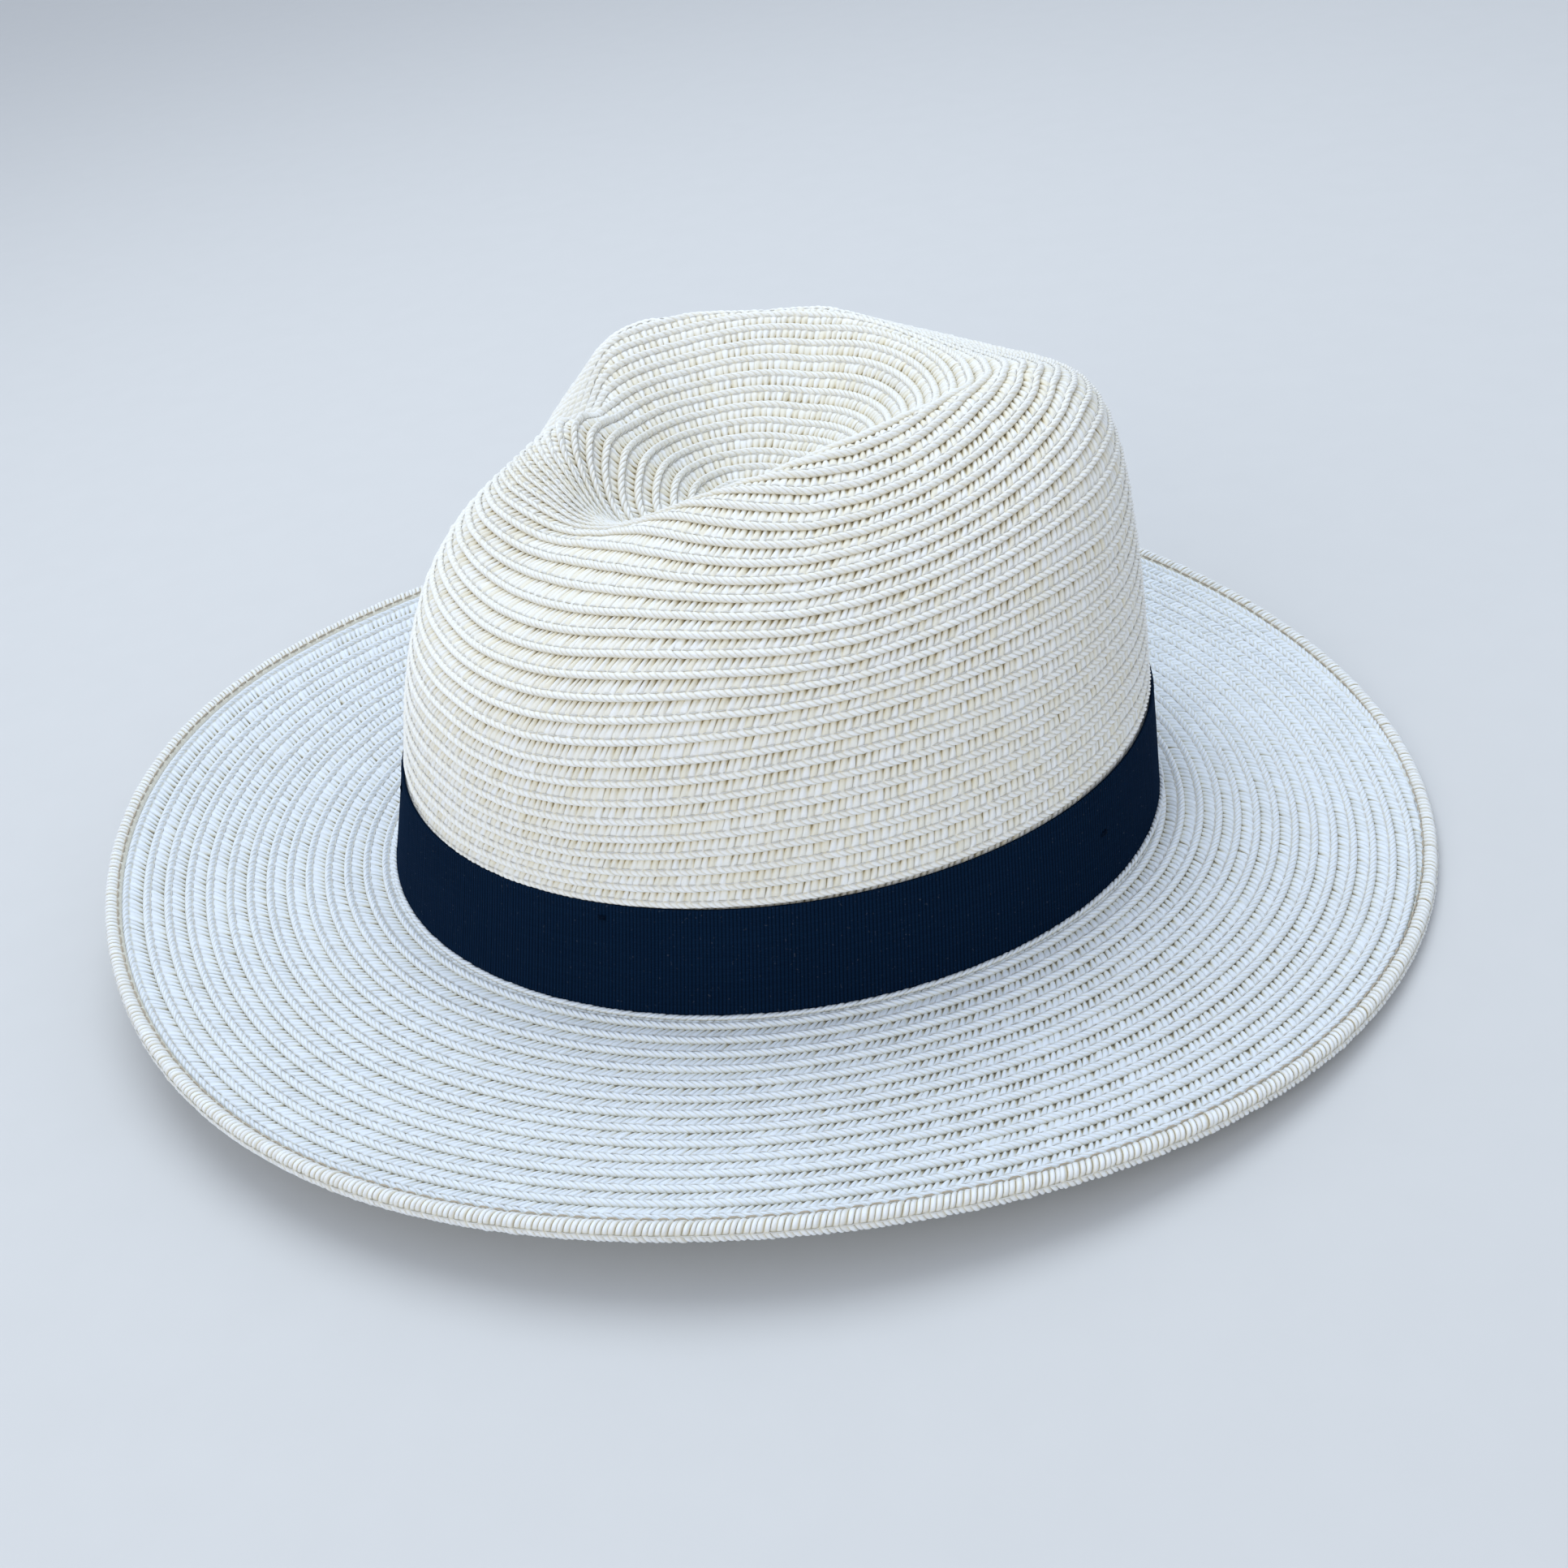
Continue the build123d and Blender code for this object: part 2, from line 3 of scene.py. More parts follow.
import bpy
import numpy as np
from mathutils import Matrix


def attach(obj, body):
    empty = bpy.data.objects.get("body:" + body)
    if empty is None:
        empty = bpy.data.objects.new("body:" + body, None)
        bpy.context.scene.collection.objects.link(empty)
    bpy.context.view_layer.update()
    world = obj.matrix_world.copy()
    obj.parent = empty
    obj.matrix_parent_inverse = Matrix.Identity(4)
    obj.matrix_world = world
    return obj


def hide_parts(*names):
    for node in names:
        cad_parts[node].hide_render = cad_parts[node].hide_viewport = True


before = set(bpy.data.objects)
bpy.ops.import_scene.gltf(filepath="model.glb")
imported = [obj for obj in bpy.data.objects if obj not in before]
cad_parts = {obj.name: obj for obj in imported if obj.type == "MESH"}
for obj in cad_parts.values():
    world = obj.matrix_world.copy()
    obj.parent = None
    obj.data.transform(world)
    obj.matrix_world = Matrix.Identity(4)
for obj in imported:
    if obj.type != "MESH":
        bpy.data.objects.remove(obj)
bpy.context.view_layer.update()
rng = np.random.default_rng(7)
TAU = 2 * np.pi

# =====================================================================
# shape of the hat, in millimetres (the same formulas as the CAD)
# =====================================================================
SHELL, BRIM_T, GAP = 2.0, 2.2, 0.15
OPEN_A, OPEN_B = 105.5, 88.3
BAND_H, BAND_T = 31.0, 0.85
BRIM_A, BRIM_B, BRIM_X0 = 180.6, 158.0, 4.1
EDGE_R = 2.3
SWEAT_H, SWEAT_T = 31.0, 0.8
EYE_Y, EYE_Z = 13.0, 7.0
V_END = 1 - (2 * EDGE_R + GAP + 0.3) / 72.4
V_C = 1 - EDGE_R / 72.4
S0 = -(SHELL * 1.08 + 0.25)

CONTOURS = [
    (105.5, 0.0, -105.5, 0.0, 88.3, 0.0, 88.3, 0.0, 0.0),
    (95.2, 31.0, -104.8, 31.0, 86.6, 31.0, 86.6, 31.0, 0.0),
    (88.0, 56.0, -104.0, 58.0, 84.0, 56.0, 84.5, 58.0, 0.0),
    (79.0, 79.0, -102.3, 80.0, 79.0, 78.0, 81.0, 82.0, 0.0),
    (64.5, 98.5, -99.5, 99.0, 68.5, 96.0, 74.0, 99.5, 0.1),
    (49.5, 112.0, -93.0, 113.0, 54.5, 109.0, 66.5, 111.0, 0.4),
    (40.5, 118.5, -85.0, 118.5, 45.0, 116.0, 61.0, 115.5, 0.8),
    (33.5, 121.0, -77.0, 120.5, 38.5, 119.0, 56.5, 117.0, 1.0),
    (28.0, 117.5, -70.0, 119.0, 34.0, 114.5, 50.5, 114.0, 1.0),
    (19.0, 107.5, -58.0, 114.0, 25.5, 104.0, 39.0, 105.5, 0.8),
    (8.0, 96.5, -42.0, 104.5, 15.5, 94.0, 25.0, 96.0, 0.5),
    (-2.0, 89.3, -23.0, 93.0, 7.0, 88.4, 11.0, 89.2, 0.2),
]
TIP = (-9.0, -2.0, 87.2)
PINCH_L = [(0, 0), (0, 0), (-1, .00), (-5, .02), (-13, .03), (-18, .02),
           (-21, .0), (-22, .0), (-21, .0), (-13, .0), (-5, .0), (-1, 0)]
PINCH_R = [(0, 0), (0, 0), (-1, .00), (-4, .02), (-9, .04), (-13, .05),
           (-14, .05), (-12, .05), (-8, .0), (-3, .0), (-1, .0), (0, 0)]
DIP_B = [0, 0, 0, 0, -1.5, -3.0, -3.0, -3.0, -2.5, -1.5, 0, 0]
LOBE_R = [0, 0, 0, .03, .10, .16, .22, .26, .24, .16, .08, .0]
TH_L, W_L, W_L2 = np.radians(31), np.radians(25), np.radians(44)
TH_R, W_R = np.radians(-20), np.radians(15)
TH_B, W_B = np.radians(-44), np.radians(22)
TH_D, W_D = np.radians(-128), np.radians(26)


def bump(th, c, w, w2=None):
    d = (th - c + np.pi) % (2 * np.pi) - np.pi
    return np.exp(-(d / np.where(d > 0, w if w2 is None else w2, w)) ** 2)


def contours(th):
    c, s = np.cos(th), np.sin(th)
    out = []
    for j, row in enumerate(CONTOURS):
        xf, zf, xb, zb, bl, zl, br, zr, tp = row
        xc, a = (xf + xb) / 2, (xf - xb) / 2
        b = np.where(s > 0, bl, br)
        z = np.where(c > 0, zf, zb) * c * c + np.where(s > 0, zl, zr) * s * s
        n, f, l = bump(th, TH_L, W_L, W_L2), bump(th, TH_R, W_R), bump(th, TH_B, W_B)
        r = 1 - PINCH_L[j][1] * n - PINCH_R[j][1] * f + LOBE_R[j] * l
        sy = np.abs(s)
        tri = 1 - np.abs(c) ** 1.3
        tri = np.sqrt(tri * tri + 0.012 * sy) / np.sqrt(1.012)
        sy = np.where(c < 0, (1 - tp) * sy + tp * tri, sy)
        x = xc + a * c * r
        y = b * np.sign(s) * sy * r + TIP[1] * max(0, (j - 6) / 6.0)
        z = z + PINCH_L[j][0] * n + PINCH_R[j][0] * f + DIP_B[j] * bump(th, TH_D, W_D)
        out.append(np.stack([x, y, z], -1))
    out.append(np.stack([0 * c + TIP[0], 0 * c + TIP[1], 0 * c + TIP[2]], -1))
    return np.array(out)


def spline_m(t, y):
    n, h = len(t), np.diff(t)
    a, r = np.zeros((n, n)), np.zeros((n,) + y.shape[1:])
    a[0, 0] = a[-1, -1] = 1
    for i in range(1, n - 1):
        a[i, i - 1], a[i, i], a[i, i + 1] = h[i - 1], 2 * (h[i - 1] + h[i]), h[i]
        r[i] = 6 * ((y[i + 1] - y[i]) / h[i] - (y[i] - y[i - 1]) / h[i - 1])
    return np.linalg.solve(a, r.reshape(n, -1)).reshape(y.shape)


def spline_at(t, y, m, q):
    i = np.clip(np.searchsorted(t, q) - 1, 0, len(t) - 2)
    sh = (len(q),) + (1,) * (y.ndim - 1)
    h = (t[i + 1] - t[i]).reshape(sh)
    a = (t[i + 1] - q).reshape(sh) / h
    b = (q - t[i]).reshape(sh) / h
    return (a * y[i] + b * y[i + 1]
            + ((a ** 3 - a) * m[i] + (b ** 3 - b) * m[i + 1]) * h * h / 6)


def edge_z(th):
    return (3.70 + 11.61 * np.cos(th) - 3.07 * np.cos(2 * th) - 4.71 * np.sin(th)
            - 1.48 * np.sin(2 * th) + 2.91 * np.cos(3 * th) + 1.46 * np.cos(4 * th))


def brim_top(v, th):
    x = (OPEN_A * (1 - v) + BRIM_A * v) * np.cos(th) + BRIM_X0 * v
    y = (OPEN_B * (1 - v) + BRIM_B * v) * np.sin(th)
    vv = np.clip(v, 0, 1)
    z = edge_z(th) * vv ** 1.5 - 2.2 * np.sin(np.pi * vv) * vv ** 0.5 - GAP
    return np.stack([x, y, z], -1)


class Table:
    """a surface P(w, theta) with normals, sampled on a grid and read back smoothly"""

    def __init__(self, w0, dw, p, n):
        self.w0, self.dw, self.p, self.n = w0, dw, p.astype(np.float32), n.astype(np.float32)
        g = np.linalg.norm(np.gradient(p, axis=0), axis=-1) / dw
        self.g = g[..., None].astype(np.float32)

    def _at(self, tab, w, th):
        nw, nt = tab.shape[:2]
        fw = np.clip((w - self.w0) / self.dw, 0, nw - 1.001)
        ft = (th / TAU % 1.0) * nt
        iw = fw.astype(np.int64)
        it = ft.astype(np.int64) % nt
        aw = (fw - iw)[..., None].astype(np.float32)
        at = (ft - np.floor(ft))[..., None].astype(np.float32)
        i2 = (it + 1) % nt
        return ((1 - aw) * ((1 - at) * tab[iw, it] + at * tab[iw, i2])
                + aw * ((1 - at) * tab[iw + 1, it] + at * tab[iw + 1, i2]))

    def P(self, w, th):
        return self._at(self.p, w, th)

    def N(self, w, th):
        n = self._at(self.n, w, th)
        return n / (np.linalg.norm(n, axis=-1, keepdims=True) + 1e-9)

    def G(self, w, th):
        return self._at(self.g, w, th)[..., 0]


def grid_normals(p):
    du = np.gradient(p, axis=0)
    dv = (np.roll(p, -1, axis=1) - np.roll(p, 1, axis=1)) / 2
    n = np.cross(du, dv)
    return n / (np.linalg.norm(n, axis=-1, keepdims=True) + 1e-12)


# ---------------------------------------------------------------- crown table
NTT = 1440
THT = np.linspace(0, TAU, NTT, endpoint=False)
N_CROWN = 45.0                                   # courses from the break to the tip
_y = contours(THT)
_t = np.r_[0, np.cumsum(np.linalg.norm(np.diff(_y, axis=0), axis=-1).mean(1))]
_q = np.linspace(0, _t[-1], 1100)
DENSE = spline_at(_t, _y, spline_m(_t, _y), _q)  # break first
_s = np.r_[np.zeros((1, NTT)), np.cumsum(np.linalg.norm(np.diff(DENSE, axis=0), axis=-1), axis=0)]
_L = _s[-1]
_i7 = int(round(_t[7] / _t[-1] * 1099))
_sr = _s[_i7]
P0 = _L.max() / (N_CROWN - 0.02)
_E = N_CROWN - _L / P0
RW = 20
wq = np.arange(0, int(N_CROWN * RW) + 1) / RW
_p = np.empty((len(wq), NTT, 3))
# where the courses wander off level on the near wall, in courses (rows: height, columns: angle)
LEAN = np.array([
    [0.00, 0.00, 0.00, 0.00, 0.00, 0.00, -0.01, 0.00, 0.01, 0.01, 0.01, 0.00, 0.00, 0.00, 0.00, 0.00, 0.01, 0.01, -0.02, -0.01, 0.00, 0.00],
    [0.00, 0.00, 0.02, 0.03, 0.01, -0.04, -0.07, 0.22, 0.36, 0.36, 0.19, 0.00, -0.08, -0.11, -0.13, -0.13, -0.07, -0.16, -0.35, -0.18, -0.03, 0.00],
    [0.00, 0.01, 0.04, 0.07, 0.04, -0.02, 0.02, 0.37, 0.53, 0.48, 0.26, 0.00, -0.18, -0.23, -0.24, -0.25, -0.23, -0.30, -0.39, -0.24, -0.04, 0.01],
    [0.00, 0.01, 0.06, 0.10, 0.08, 0.04, 0.11, 0.42, 0.57, 0.48, 0.25, -0.02, -0.28, -0.34, -0.35, -0.34, -0.32, -0.31, -0.33, -0.20, -0.04, 0.00],
    [0.00, 0.01, 0.08, 0.13, 0.13, 0.11, 0.15, 0.39, 0.51, 0.35, 0.12, -0.09, -0.29, -0.39, -0.45, -0.42, -0.32, -0.26, -0.19, -0.10, -0.03, 0.00],
    [0.00, 0.02, 0.10, 0.17, 0.19, 0.17, 0.19, 0.28, 0.27, 0.13, -0.06, -0.22, -0.26, -0.30, -0.39, -0.45, -0.38, -0.22, -0.01, 0.01, -0.02, -0.01],
    [0.00, 0.03, 0.14, 0.21, 0.20, 0.14, 0.11, 0.05, -0.01, -0.16, -0.29, -0.32, -0.11, 0.03, -0.17, -0.33, -0.42, -0.29, 0.01, 0.05, -0.03, -0.01],
    [0.00, 0.04, 0.18, 0.22, 0.13, -0.03, -0.18, -0.25, -0.32, -0.46, -0.43, -0.20, 0.15, 0.31, 0.10, -0.14, -0.31, -0.28, -0.12, -0.07, -0.08, -0.02],
    [0.00, 0.05, 0.24, 0.21, -0.05, -0.38, -0.58, -0.65, -0.65, -0.63, -0.40, 0.03, 0.45, 0.51, 0.37, 0.10, -0.13, -0.26, -0.25, -0.26, -0.13, -0.01],
    [0.00, 0.07, 0.30, 0.20, -0.28, -0.80, -1.08, -1.13, -1.05, -0.77, -0.29, 0.30, 0.72, 0.81, 0.63, 0.29, -0.05, -0.26, -0.34, -0.40, -0.16, -0.01],
    [0.00, 0.09, 0.38, 0.19, -0.50, -1.20, -1.63, -1.63, -1.41, -0.95, -0.31, 0.38, 0.95, 1.08, 0.82, 0.36, -0.03, -0.30, -0.33, -0.33, -0.11, 0.00],
    [0.00, 0.12, 0.46, 0.19, -0.70, -1.53, -2.06, -2.11, -1.80, -1.22, -0.45, 0.32, 1.00, 1.24, 0.93, 0.36, -0.10, -0.22, -0.16, -0.15, -0.02, 0.02],
    [0.00, 0.14, 0.55, 0.19, -0.89, -1.83, -2.43, -2.54, -2.17, -1.47, -0.60, 0.25, 0.96, 1.29, 0.99, 0.37, -0.09, -0.11, 0.00, 0.05, 0.10, 0.03],
])
LEAN_T = np.radians(np.linspace(-20, 190, 22))
LEAN_W = np.linspace(6.8, 30, 13)


def lean(w, th):
    t = (th + np.pi / 2) % TAU - np.pi / 2
    if not LEAN_T[0] < t < LEAN_T[-1]:
        return 0 * w
    f = (t - LEAN_T[0]) / (LEAN_T[1] - LEAN_T[0])
    i = min(int(f), len(LEAN_T) - 2)
    col = LEAN[:, i] * (1 - f + i) + LEAN[:, i + 1] * (f - i)
    return np.interp(w, LEAN_W, col)


def gap180(t, c):
    return (t - c + np.pi) % TAU - np.pi


# the spare courses of the short sections pack together inside the near rim and outside the far one
_pin = np.exp(-(gap180(THT, np.radians(-22)) / np.radians(30)) ** 2)
_c0 = -2 + 10 * np.sin(THT) - 26 * _pin
_sg = 9.0 + 9.0 * _pin
for k in range(NTT):
    x = (_s[:, k] - _sr[k] - _c0[k]) / _sg[k]
    c = 0.5 * (1 + np.tanh(1.2 * x))
    c = (c - c[0]) / (c[-1] - c[0])
    w = _s[:, k] / P0 + _E[k] * c
    wr = _sr[k] / P0
    w = w + lean(np.minimum(w, wr), THT[k]) * np.clip((wr + 9 - w) / 9, 0, 1)
    w = np.maximum.accumulate(w + 1e-7 * np.arange(len(w)))
    for a in range(3):
        _p[:, k, a] = np.interp(wq, w, DENSE[:, k, a])
_n = grid_normals(_p)
if _n[5, 0, 0] < 0:
    _n = -_n
_n[-1] = _n[-6].mean(0)
_n[-2] = _n[-6]
CROWN = Table(0.0, 1.0 / RW, _p, _n)

# ---------------------------------------------------------------- brim table
N_BRIM = 14.0
V_LAST = V_END + 1.25 / 72.4                     # the last course laps over the folded edge
wb = np.arange(-1 * RW, int((N_BRIM + 0.6) * RW) + 1) / RW


def v_of(w):
    return V_LAST * (1 - w / N_BRIM)


_pb = []
for w in wb:
    v = v_of(w)
    if v >= 0:
        _pb.append(brim_top(v, THT))
    else:
        p = brim_top(0.0, THT)
        p[:, 0] *= 1 + v * 72.4 / OPEN_A
        p[:, 1] *= 1 + v * 72.4 / OPEN_B
        _pb.append(p)
_pb = np.array(_pb)
_nb = grid_normals(_pb)
_nb *= np.sign(_nb[..., 2:3])
BRIM = Table(wb[0], 1.0 / RW, _pb, _nb)

# wall outline of the crown at heights 0..60
ZW = np.arange(0, 60.5, 0.5)
_wall = np.empty((len(ZW), NTT, 3))
for k in range(NTT):
    n = int(np.argmax(DENSE[:, k, 2] > 62.0))
    _wall[:, k, 0] = np.interp(ZW, DENSE[:n, k, 2], DENSE[:n, k, 0])
    _wall[:, k, 1] = np.interp(ZW, DENSE[:n, k, 2], DENSE[:n, k, 1])
    _wall[:, k, 2] = ZW
_d = np.roll(_wall, -1, axis=1) - np.roll(_wall, 1, axis=1)
_nw = np.stack([_d[..., 1], -_d[..., 0], 0 * _d[..., 0]], -1)
_nw /= np.linalg.norm(_nw, axis=-1, keepdims=True)
WALL = Table(0.0, 0.5, _wall, _nw)


def wall(z, off, th):
    """points on the crown wall at height z, moved outwards by off (mm); broadcast arrays"""
    z, off, th = np.broadcast_arrays(np.asarray(z, float), np.asarray(off, float), np.asarray(th, float))
    p = WALL.P(np.clip(z, 0, 59.9), th) + off[..., None] * WALL.N(np.clip(z, 0, 59.9), th)
    p = p.astype(float)
    p[..., 2] = z
    return p


# =====================================================================
# mesh helpers
# =====================================================================
def build(name, verts_mm, quads, mat, body="hat", attrs=None, uvs=None, smooth=True, colours=None):
    """verts in mm, quads (F,4); attrs: point floats; uvs: {name: (F,4,2)}"""
    me = bpy.data.meshes.new(name)
    v = (np.asarray(verts_mm, np.float64) * 0.001).astype(np.float32)
    nf = len(quads)
    k = quads.shape[1]
    me.vertices.add(len(v))
    me.vertices.foreach_set("co", v.ravel())
    me.loops.add(nf * k)
    me.loops.foreach_set("vertex_index", quads.astype(np.int32).ravel())
    me.polygons.add(nf)
    me.polygons.foreach_set("loop_start", np.arange(0, nf * k, k, dtype=np.int32))
    me.polygons.foreach_set("loop_total", np.full(nf, k, np.int32))
    me.update(calc_edges=True)
    me.polygons.foreach_set("use_smooth", np.full(nf, smooth, bool))
    for an, av in (attrs or {}).items():
        a = me.attributes.new(an, "FLOAT", "POINT")
        a.data.foreach_set("value", np.asarray(av, np.float32).ravel())
    for un, uv in (uvs or {}).items():
        lay = me.uv_layers.new(name=un)
        lay.data.foreach_set("uv", np.asarray(uv, np.float32).ravel())
    me.materials.append(mat)
    ob = bpy.data.objects.new(name, me)
    bpy.context.scene.collection.objects.link(ob)
    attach(ob, body)
    return ob


def orient(verts, quads):
    """flips all faces if the closed mesh has a negative volume"""
    v = np.asarray(verts, float)
    a, b, c = v[quads[:, 0]], v[quads[:, 1]], v[quads[:, 2]]
    vol = np.einsum("ij,ij->i", a, np.cross(b, c)).sum()
    if quads.shape[1] == 4:
        d = v[quads[:, 3]]
        vol += np.einsum("ij,ij->i", a, np.cross(c, d)).sum()
    return quads if vol > 0 else quads[:, ::-1]


def grid_faces(nu, nv, wrap_u, wrap_v):
    """quads of a grid with index i*nv + j; also returns (i, j) of each face"""
    iu = np.arange(nu if wrap_u else nu - 1)
    jv = np.arange(nv if wrap_v else nv - 1)
    I, J = np.meshgrid(iu, jv, indexing="ij")
    I2, J2 = (I + 1) % nu, (J + 1) % nv
    q = np.stack([I * nv + J, I2 * nv + J, I2 * nv + J2, I * nv + J2], -1).reshape(-1, 4)
    return q, I.ravel(), J.ravel()


def face_uv(I, J, fu, fv):
    """corner coordinates from per-index functions given as arrays one longer than the faces"""
    u0, u1, v0, v1 = fu[I], fu[I + 1], fv[J], fv[J + 1]
    return np.stack([np.stack([u0, v0], -1), np.stack([u1, v0], -1),
                     np.stack([u1, v1], -1), np.stack([u0, v1], -1)], 1)


def folded_uv(I, J, nu, nv, target=1.0):
    """grid strip of nu x nv cells laid out in a square as several rows, each cell about square"""
    rows = max(1, int(round(math.sqrt(nu * target / nv))))
    per = int(math.ceil(nu / rows))
    r = I // per
    c = I - r * per
    pad = 0.04
    u0, u1 = (c + 0.0) / per, (c + 1.0) / per
    v0 = (r + pad + (1 - 2 * pad) * J / nv) / rows
    v1 = (r + pad + (1 - 2 * pad) * (J + 1) / nv) / rows
    m = 0.002
    u0, u1, v0, v1 = [m + (1 - 2 * m) * a for a in (u0, u1, v0, v1)]
    return np.stack([np.stack([u0, v0], -1), np.stack([u1, v0], -1),
                     np.stack([u1, v1], -1), np.stack([u0, v1], -1)], 1)


# =====================================================================
# materials
# =====================================================================
def new_mat(name):
    m = bpy.data.materials.new(name)
    m.use_nodes = True
    nt = m.node_tree
    for n in list(nt.nodes):
        nt.nodes.remove(n)
    out = nt.nodes.new("ShaderNodeOutputMaterial")
    b = nt.nodes.new("ShaderNodeBsdfPrincipled")
    nt.links.new(b.outputs[0], out.inputs[0])
    return m, nt, b


def node(nt, kind, **kw):
    n = nt.nodes.new(kind)
    for k, v in kw.items():
        if k in ("operation", "blend_type", "data_type", "attribute_name", "uv_map", "noise_dimensions",
                 "wave_type", "bands_direction", "feature", "distance", "interpolation_type", "voronoi_dimensions",
                 "clamp"):
            setattr(n, k, v)
        else:
            n.inputs[k].default_value = v
    return n


def mix_col(nt, fac, a, b, mode="MIX"):
    n = nt.nodes.new("ShaderNodeMix")
    n.data_type = "RGBA"
    n.blend_type = mode
    if isinstance(fac, (int, float)):
        n.inputs[0].default_value = fac
    else:
        nt.links.new(fac, n.inputs[0])
    for sock, val in ((n.inputs[6], a), (n.inputs[7], b)):
        if isinstance(val, (tuple, list)):
            sock.default_value = (*val[:3], 1.0)
        else:
            nt.links.new(val, sock)
    return n.outputs[2]


def maths(nt, op, a, b=None, c=None, clamp=False):
    n = nt.nodes.new("ShaderNodeMath")
    n.operation = op
    n.use_clamp = clamp
    for i, v in enumerate((a, b, c)):
        if v is None:
            continue
        if isinstance(v, (int, float)):
            n.inputs[i].default_value = v
        else:
            nt.links.new(v, n.inputs[i])
    return n.outputs[0]


def attr(nt, name):
    n = nt.nodes.new("ShaderNodeAttribute")
    n.attribute_name = name
    return n


def uvs(nt, name):
    n = nt.nodes.new("ShaderNodeUVMap")
    n.uv_map = name
    return n.outputs[0]


def mapping(nt, vec, scale):
    n = nt.nodes.new("ShaderNodeMapping")
    nt.links.new(vec, n.inputs[0])
    n.inputs["Scale"].default_value = scale
    return n.outputs[0]


def noise(nt, vec, scale, detail=2.0, rough=0.5, dist=0.0):
    n = nt.nodes.new("ShaderNodeTexNoise")
    n.inputs["Scale"].default_value = scale
    n.inputs["Detail"].default_value = detail
    n.inputs["Roughness"].default_value = rough
    n.inputs["Distortion"].default_value = dist
    if vec is not None:
        nt.links.new(vec, n.inputs["Vector"])
    return n.outputs["Fac"]


def ramp(nt, fac, stops):
    n = nt.nodes.new("ShaderNodeValToRGB")
    el = n.color_ramp.elements
    while len(el) > 1:
        el.remove(el[-1])
    el[0].position, el[0].color = stops[0][0], (*stops[0][1], 1.0) if len(stops[0][1]) == 3 else stops[0][1]
    for p, c in stops[1:]:
        e = el.new(p)
        e.color = (*c, 1.0) if len(c) == 3 else c
    nt.links.new(fac, n.inputs[0])
    return n.outputs[0]


def bump_node(nt, bsdf, height, strength, dist):
    n = nt.nodes.new("ShaderNodeBump")
    n.inputs["Strength"].default_value = strength
    n.inputs["Distance"].default_value = dist
    nt.links.new(height, n.inputs["Height"])
    nt.links.new(n.outputs[0], bsdf.inputs["Normal"])
    return n


def coords(nt):
    n = nt.nodes.new("ShaderNodeTexCoord")
    return n.outputs["Object"]


def straw_material(name, white, cream, warm, fold):
    """plaited paper straw: strands differ between white and cream, fine fibre streaks run along each strand,
    the gaps between strands and the places under the ridges carry painted shade, darkened towards brown by the cavity
    attribute, and the ridges are slightly polished by handling"""
    m, nt, b = new_mat(name)
    tint, cavity_shade = attr(nt, "tint").outputs["Fac"], attr(nt, "cavity_shade").outputs["Fac"]
    uv = uvs(nt, "strand")
    fib = noise(nt, mapping(nt, uv, (5.5, 0.55, 1.0)), 1.0, 3.0, 0.6)
    fine = noise(nt, mapping(nt, uv, (14.0, 1.1, 1.0)), 1.0, 2.0, 0.5)
    big = noise(nt, coords(nt), 22.0, 3.0, 0.55)
    blot = noise(nt, coords(nt), 140.0, 2.0, 0.5)
    base = mix_col(nt, maths(nt, "MULTIPLY", tint, 1.0, clamp=True), white, cream)
    f1 = maths(nt, "MULTIPLY_ADD", fib, 0.30, 0.85)
    shade = mix_col(nt, 1.0, base, (1, 1, 1), "MULTIPLY")
    dark = mix_col(nt, maths(nt, "MULTIPLY_ADD", fib, -1.1, 0.72, clamp=True), shade, warm)
    base2 = mix_col(nt, 0.20, shade, dark)
    soil = maths(nt, "MULTIPLY_ADD", big, 1.6, -0.72, clamp=True)
    base3 = mix_col(nt, maths(nt, "MULTIPLY", soil, 0.16), base2, warm)
    spot = maths(nt, "MULTIPLY_ADD", blot, 3.0, -1.75, clamp=True)
    base4 = mix_col(nt, maths(nt, "MULTIPLY", spot, 0.12), base3, warm)
    # painted shade: the cavity attribute darkens the colour through tan and brown to the fold colour in the gaps and
    # under the ridges
    deep = ramp(nt, cavity_shade, [(0.0, (1, 1, 1)), (0.35, (0.86, 0.80, 0.66)), (0.7, (0.42, 0.34, 0.20)), (1.0, fold)])
    col = mix_col(nt, 1.0, base4, deep, "MULTIPLY")
    nt.links.new(col, b.inputs["Base Color"])
    r = maths(nt, "MULTIPLY_ADD", fine, 0.28, 0.42)
    nt.links.new(maths(nt, "MULTIPLY_ADD", cavity_shade, 0.25, r, clamp=True), b.inputs["Roughness"])
    b.inputs["Specular IOR Level"].default_value = 0.42
    b.inputs["Sheen Weight"].default_value = 0.18
    b.inputs["Sheen Roughness"].default_value = 0.45
    h = maths(nt, "ADD", maths(nt, "MULTIPLY", fib, 0.7), maths(nt, "MULTIPLY", fine, 0.5))
    bump_node(nt, b, h, 0.55, 0.00012)
    return m


def thread_material(name, col, dark, sheen=0.3):
    m, nt, b = new_mat(name)
    uv = uvs(nt, "strand")
    w = nt.nodes.new("ShaderNodeTexWave")
    w.wave_type = "BANDS"
    w.bands_direction = "DIAGONAL"
    w.inputs["Scale"].default_value = 1.0
    w.inputs["Distortion"].default_value = 0.6
    nt.links.new(mapping(nt, uv, (3.2, 1.6, 1.0)), w.inputs["Vector"])
    f = w.outputs["Fac"]
    n = noise(nt, coords(nt), 600.0, 2.0)
    c = mix_col(nt, maths(nt, "MULTIPLY_ADD", f, 0.75, maths(nt, "MULTIPLY", n, 0.35), clamp=True), dark, col)
    nt.links.new(c, b.inputs["Base Color"])
    nt.links.new(maths(nt, "MULTIPLY_ADD", n, 0.3, 0.45), b.inputs["Roughness"])
    b.inputs["Sheen Weight"].default_value = sheen
    bump_node(nt, b, f, 0.6, 0.00008)
    return m
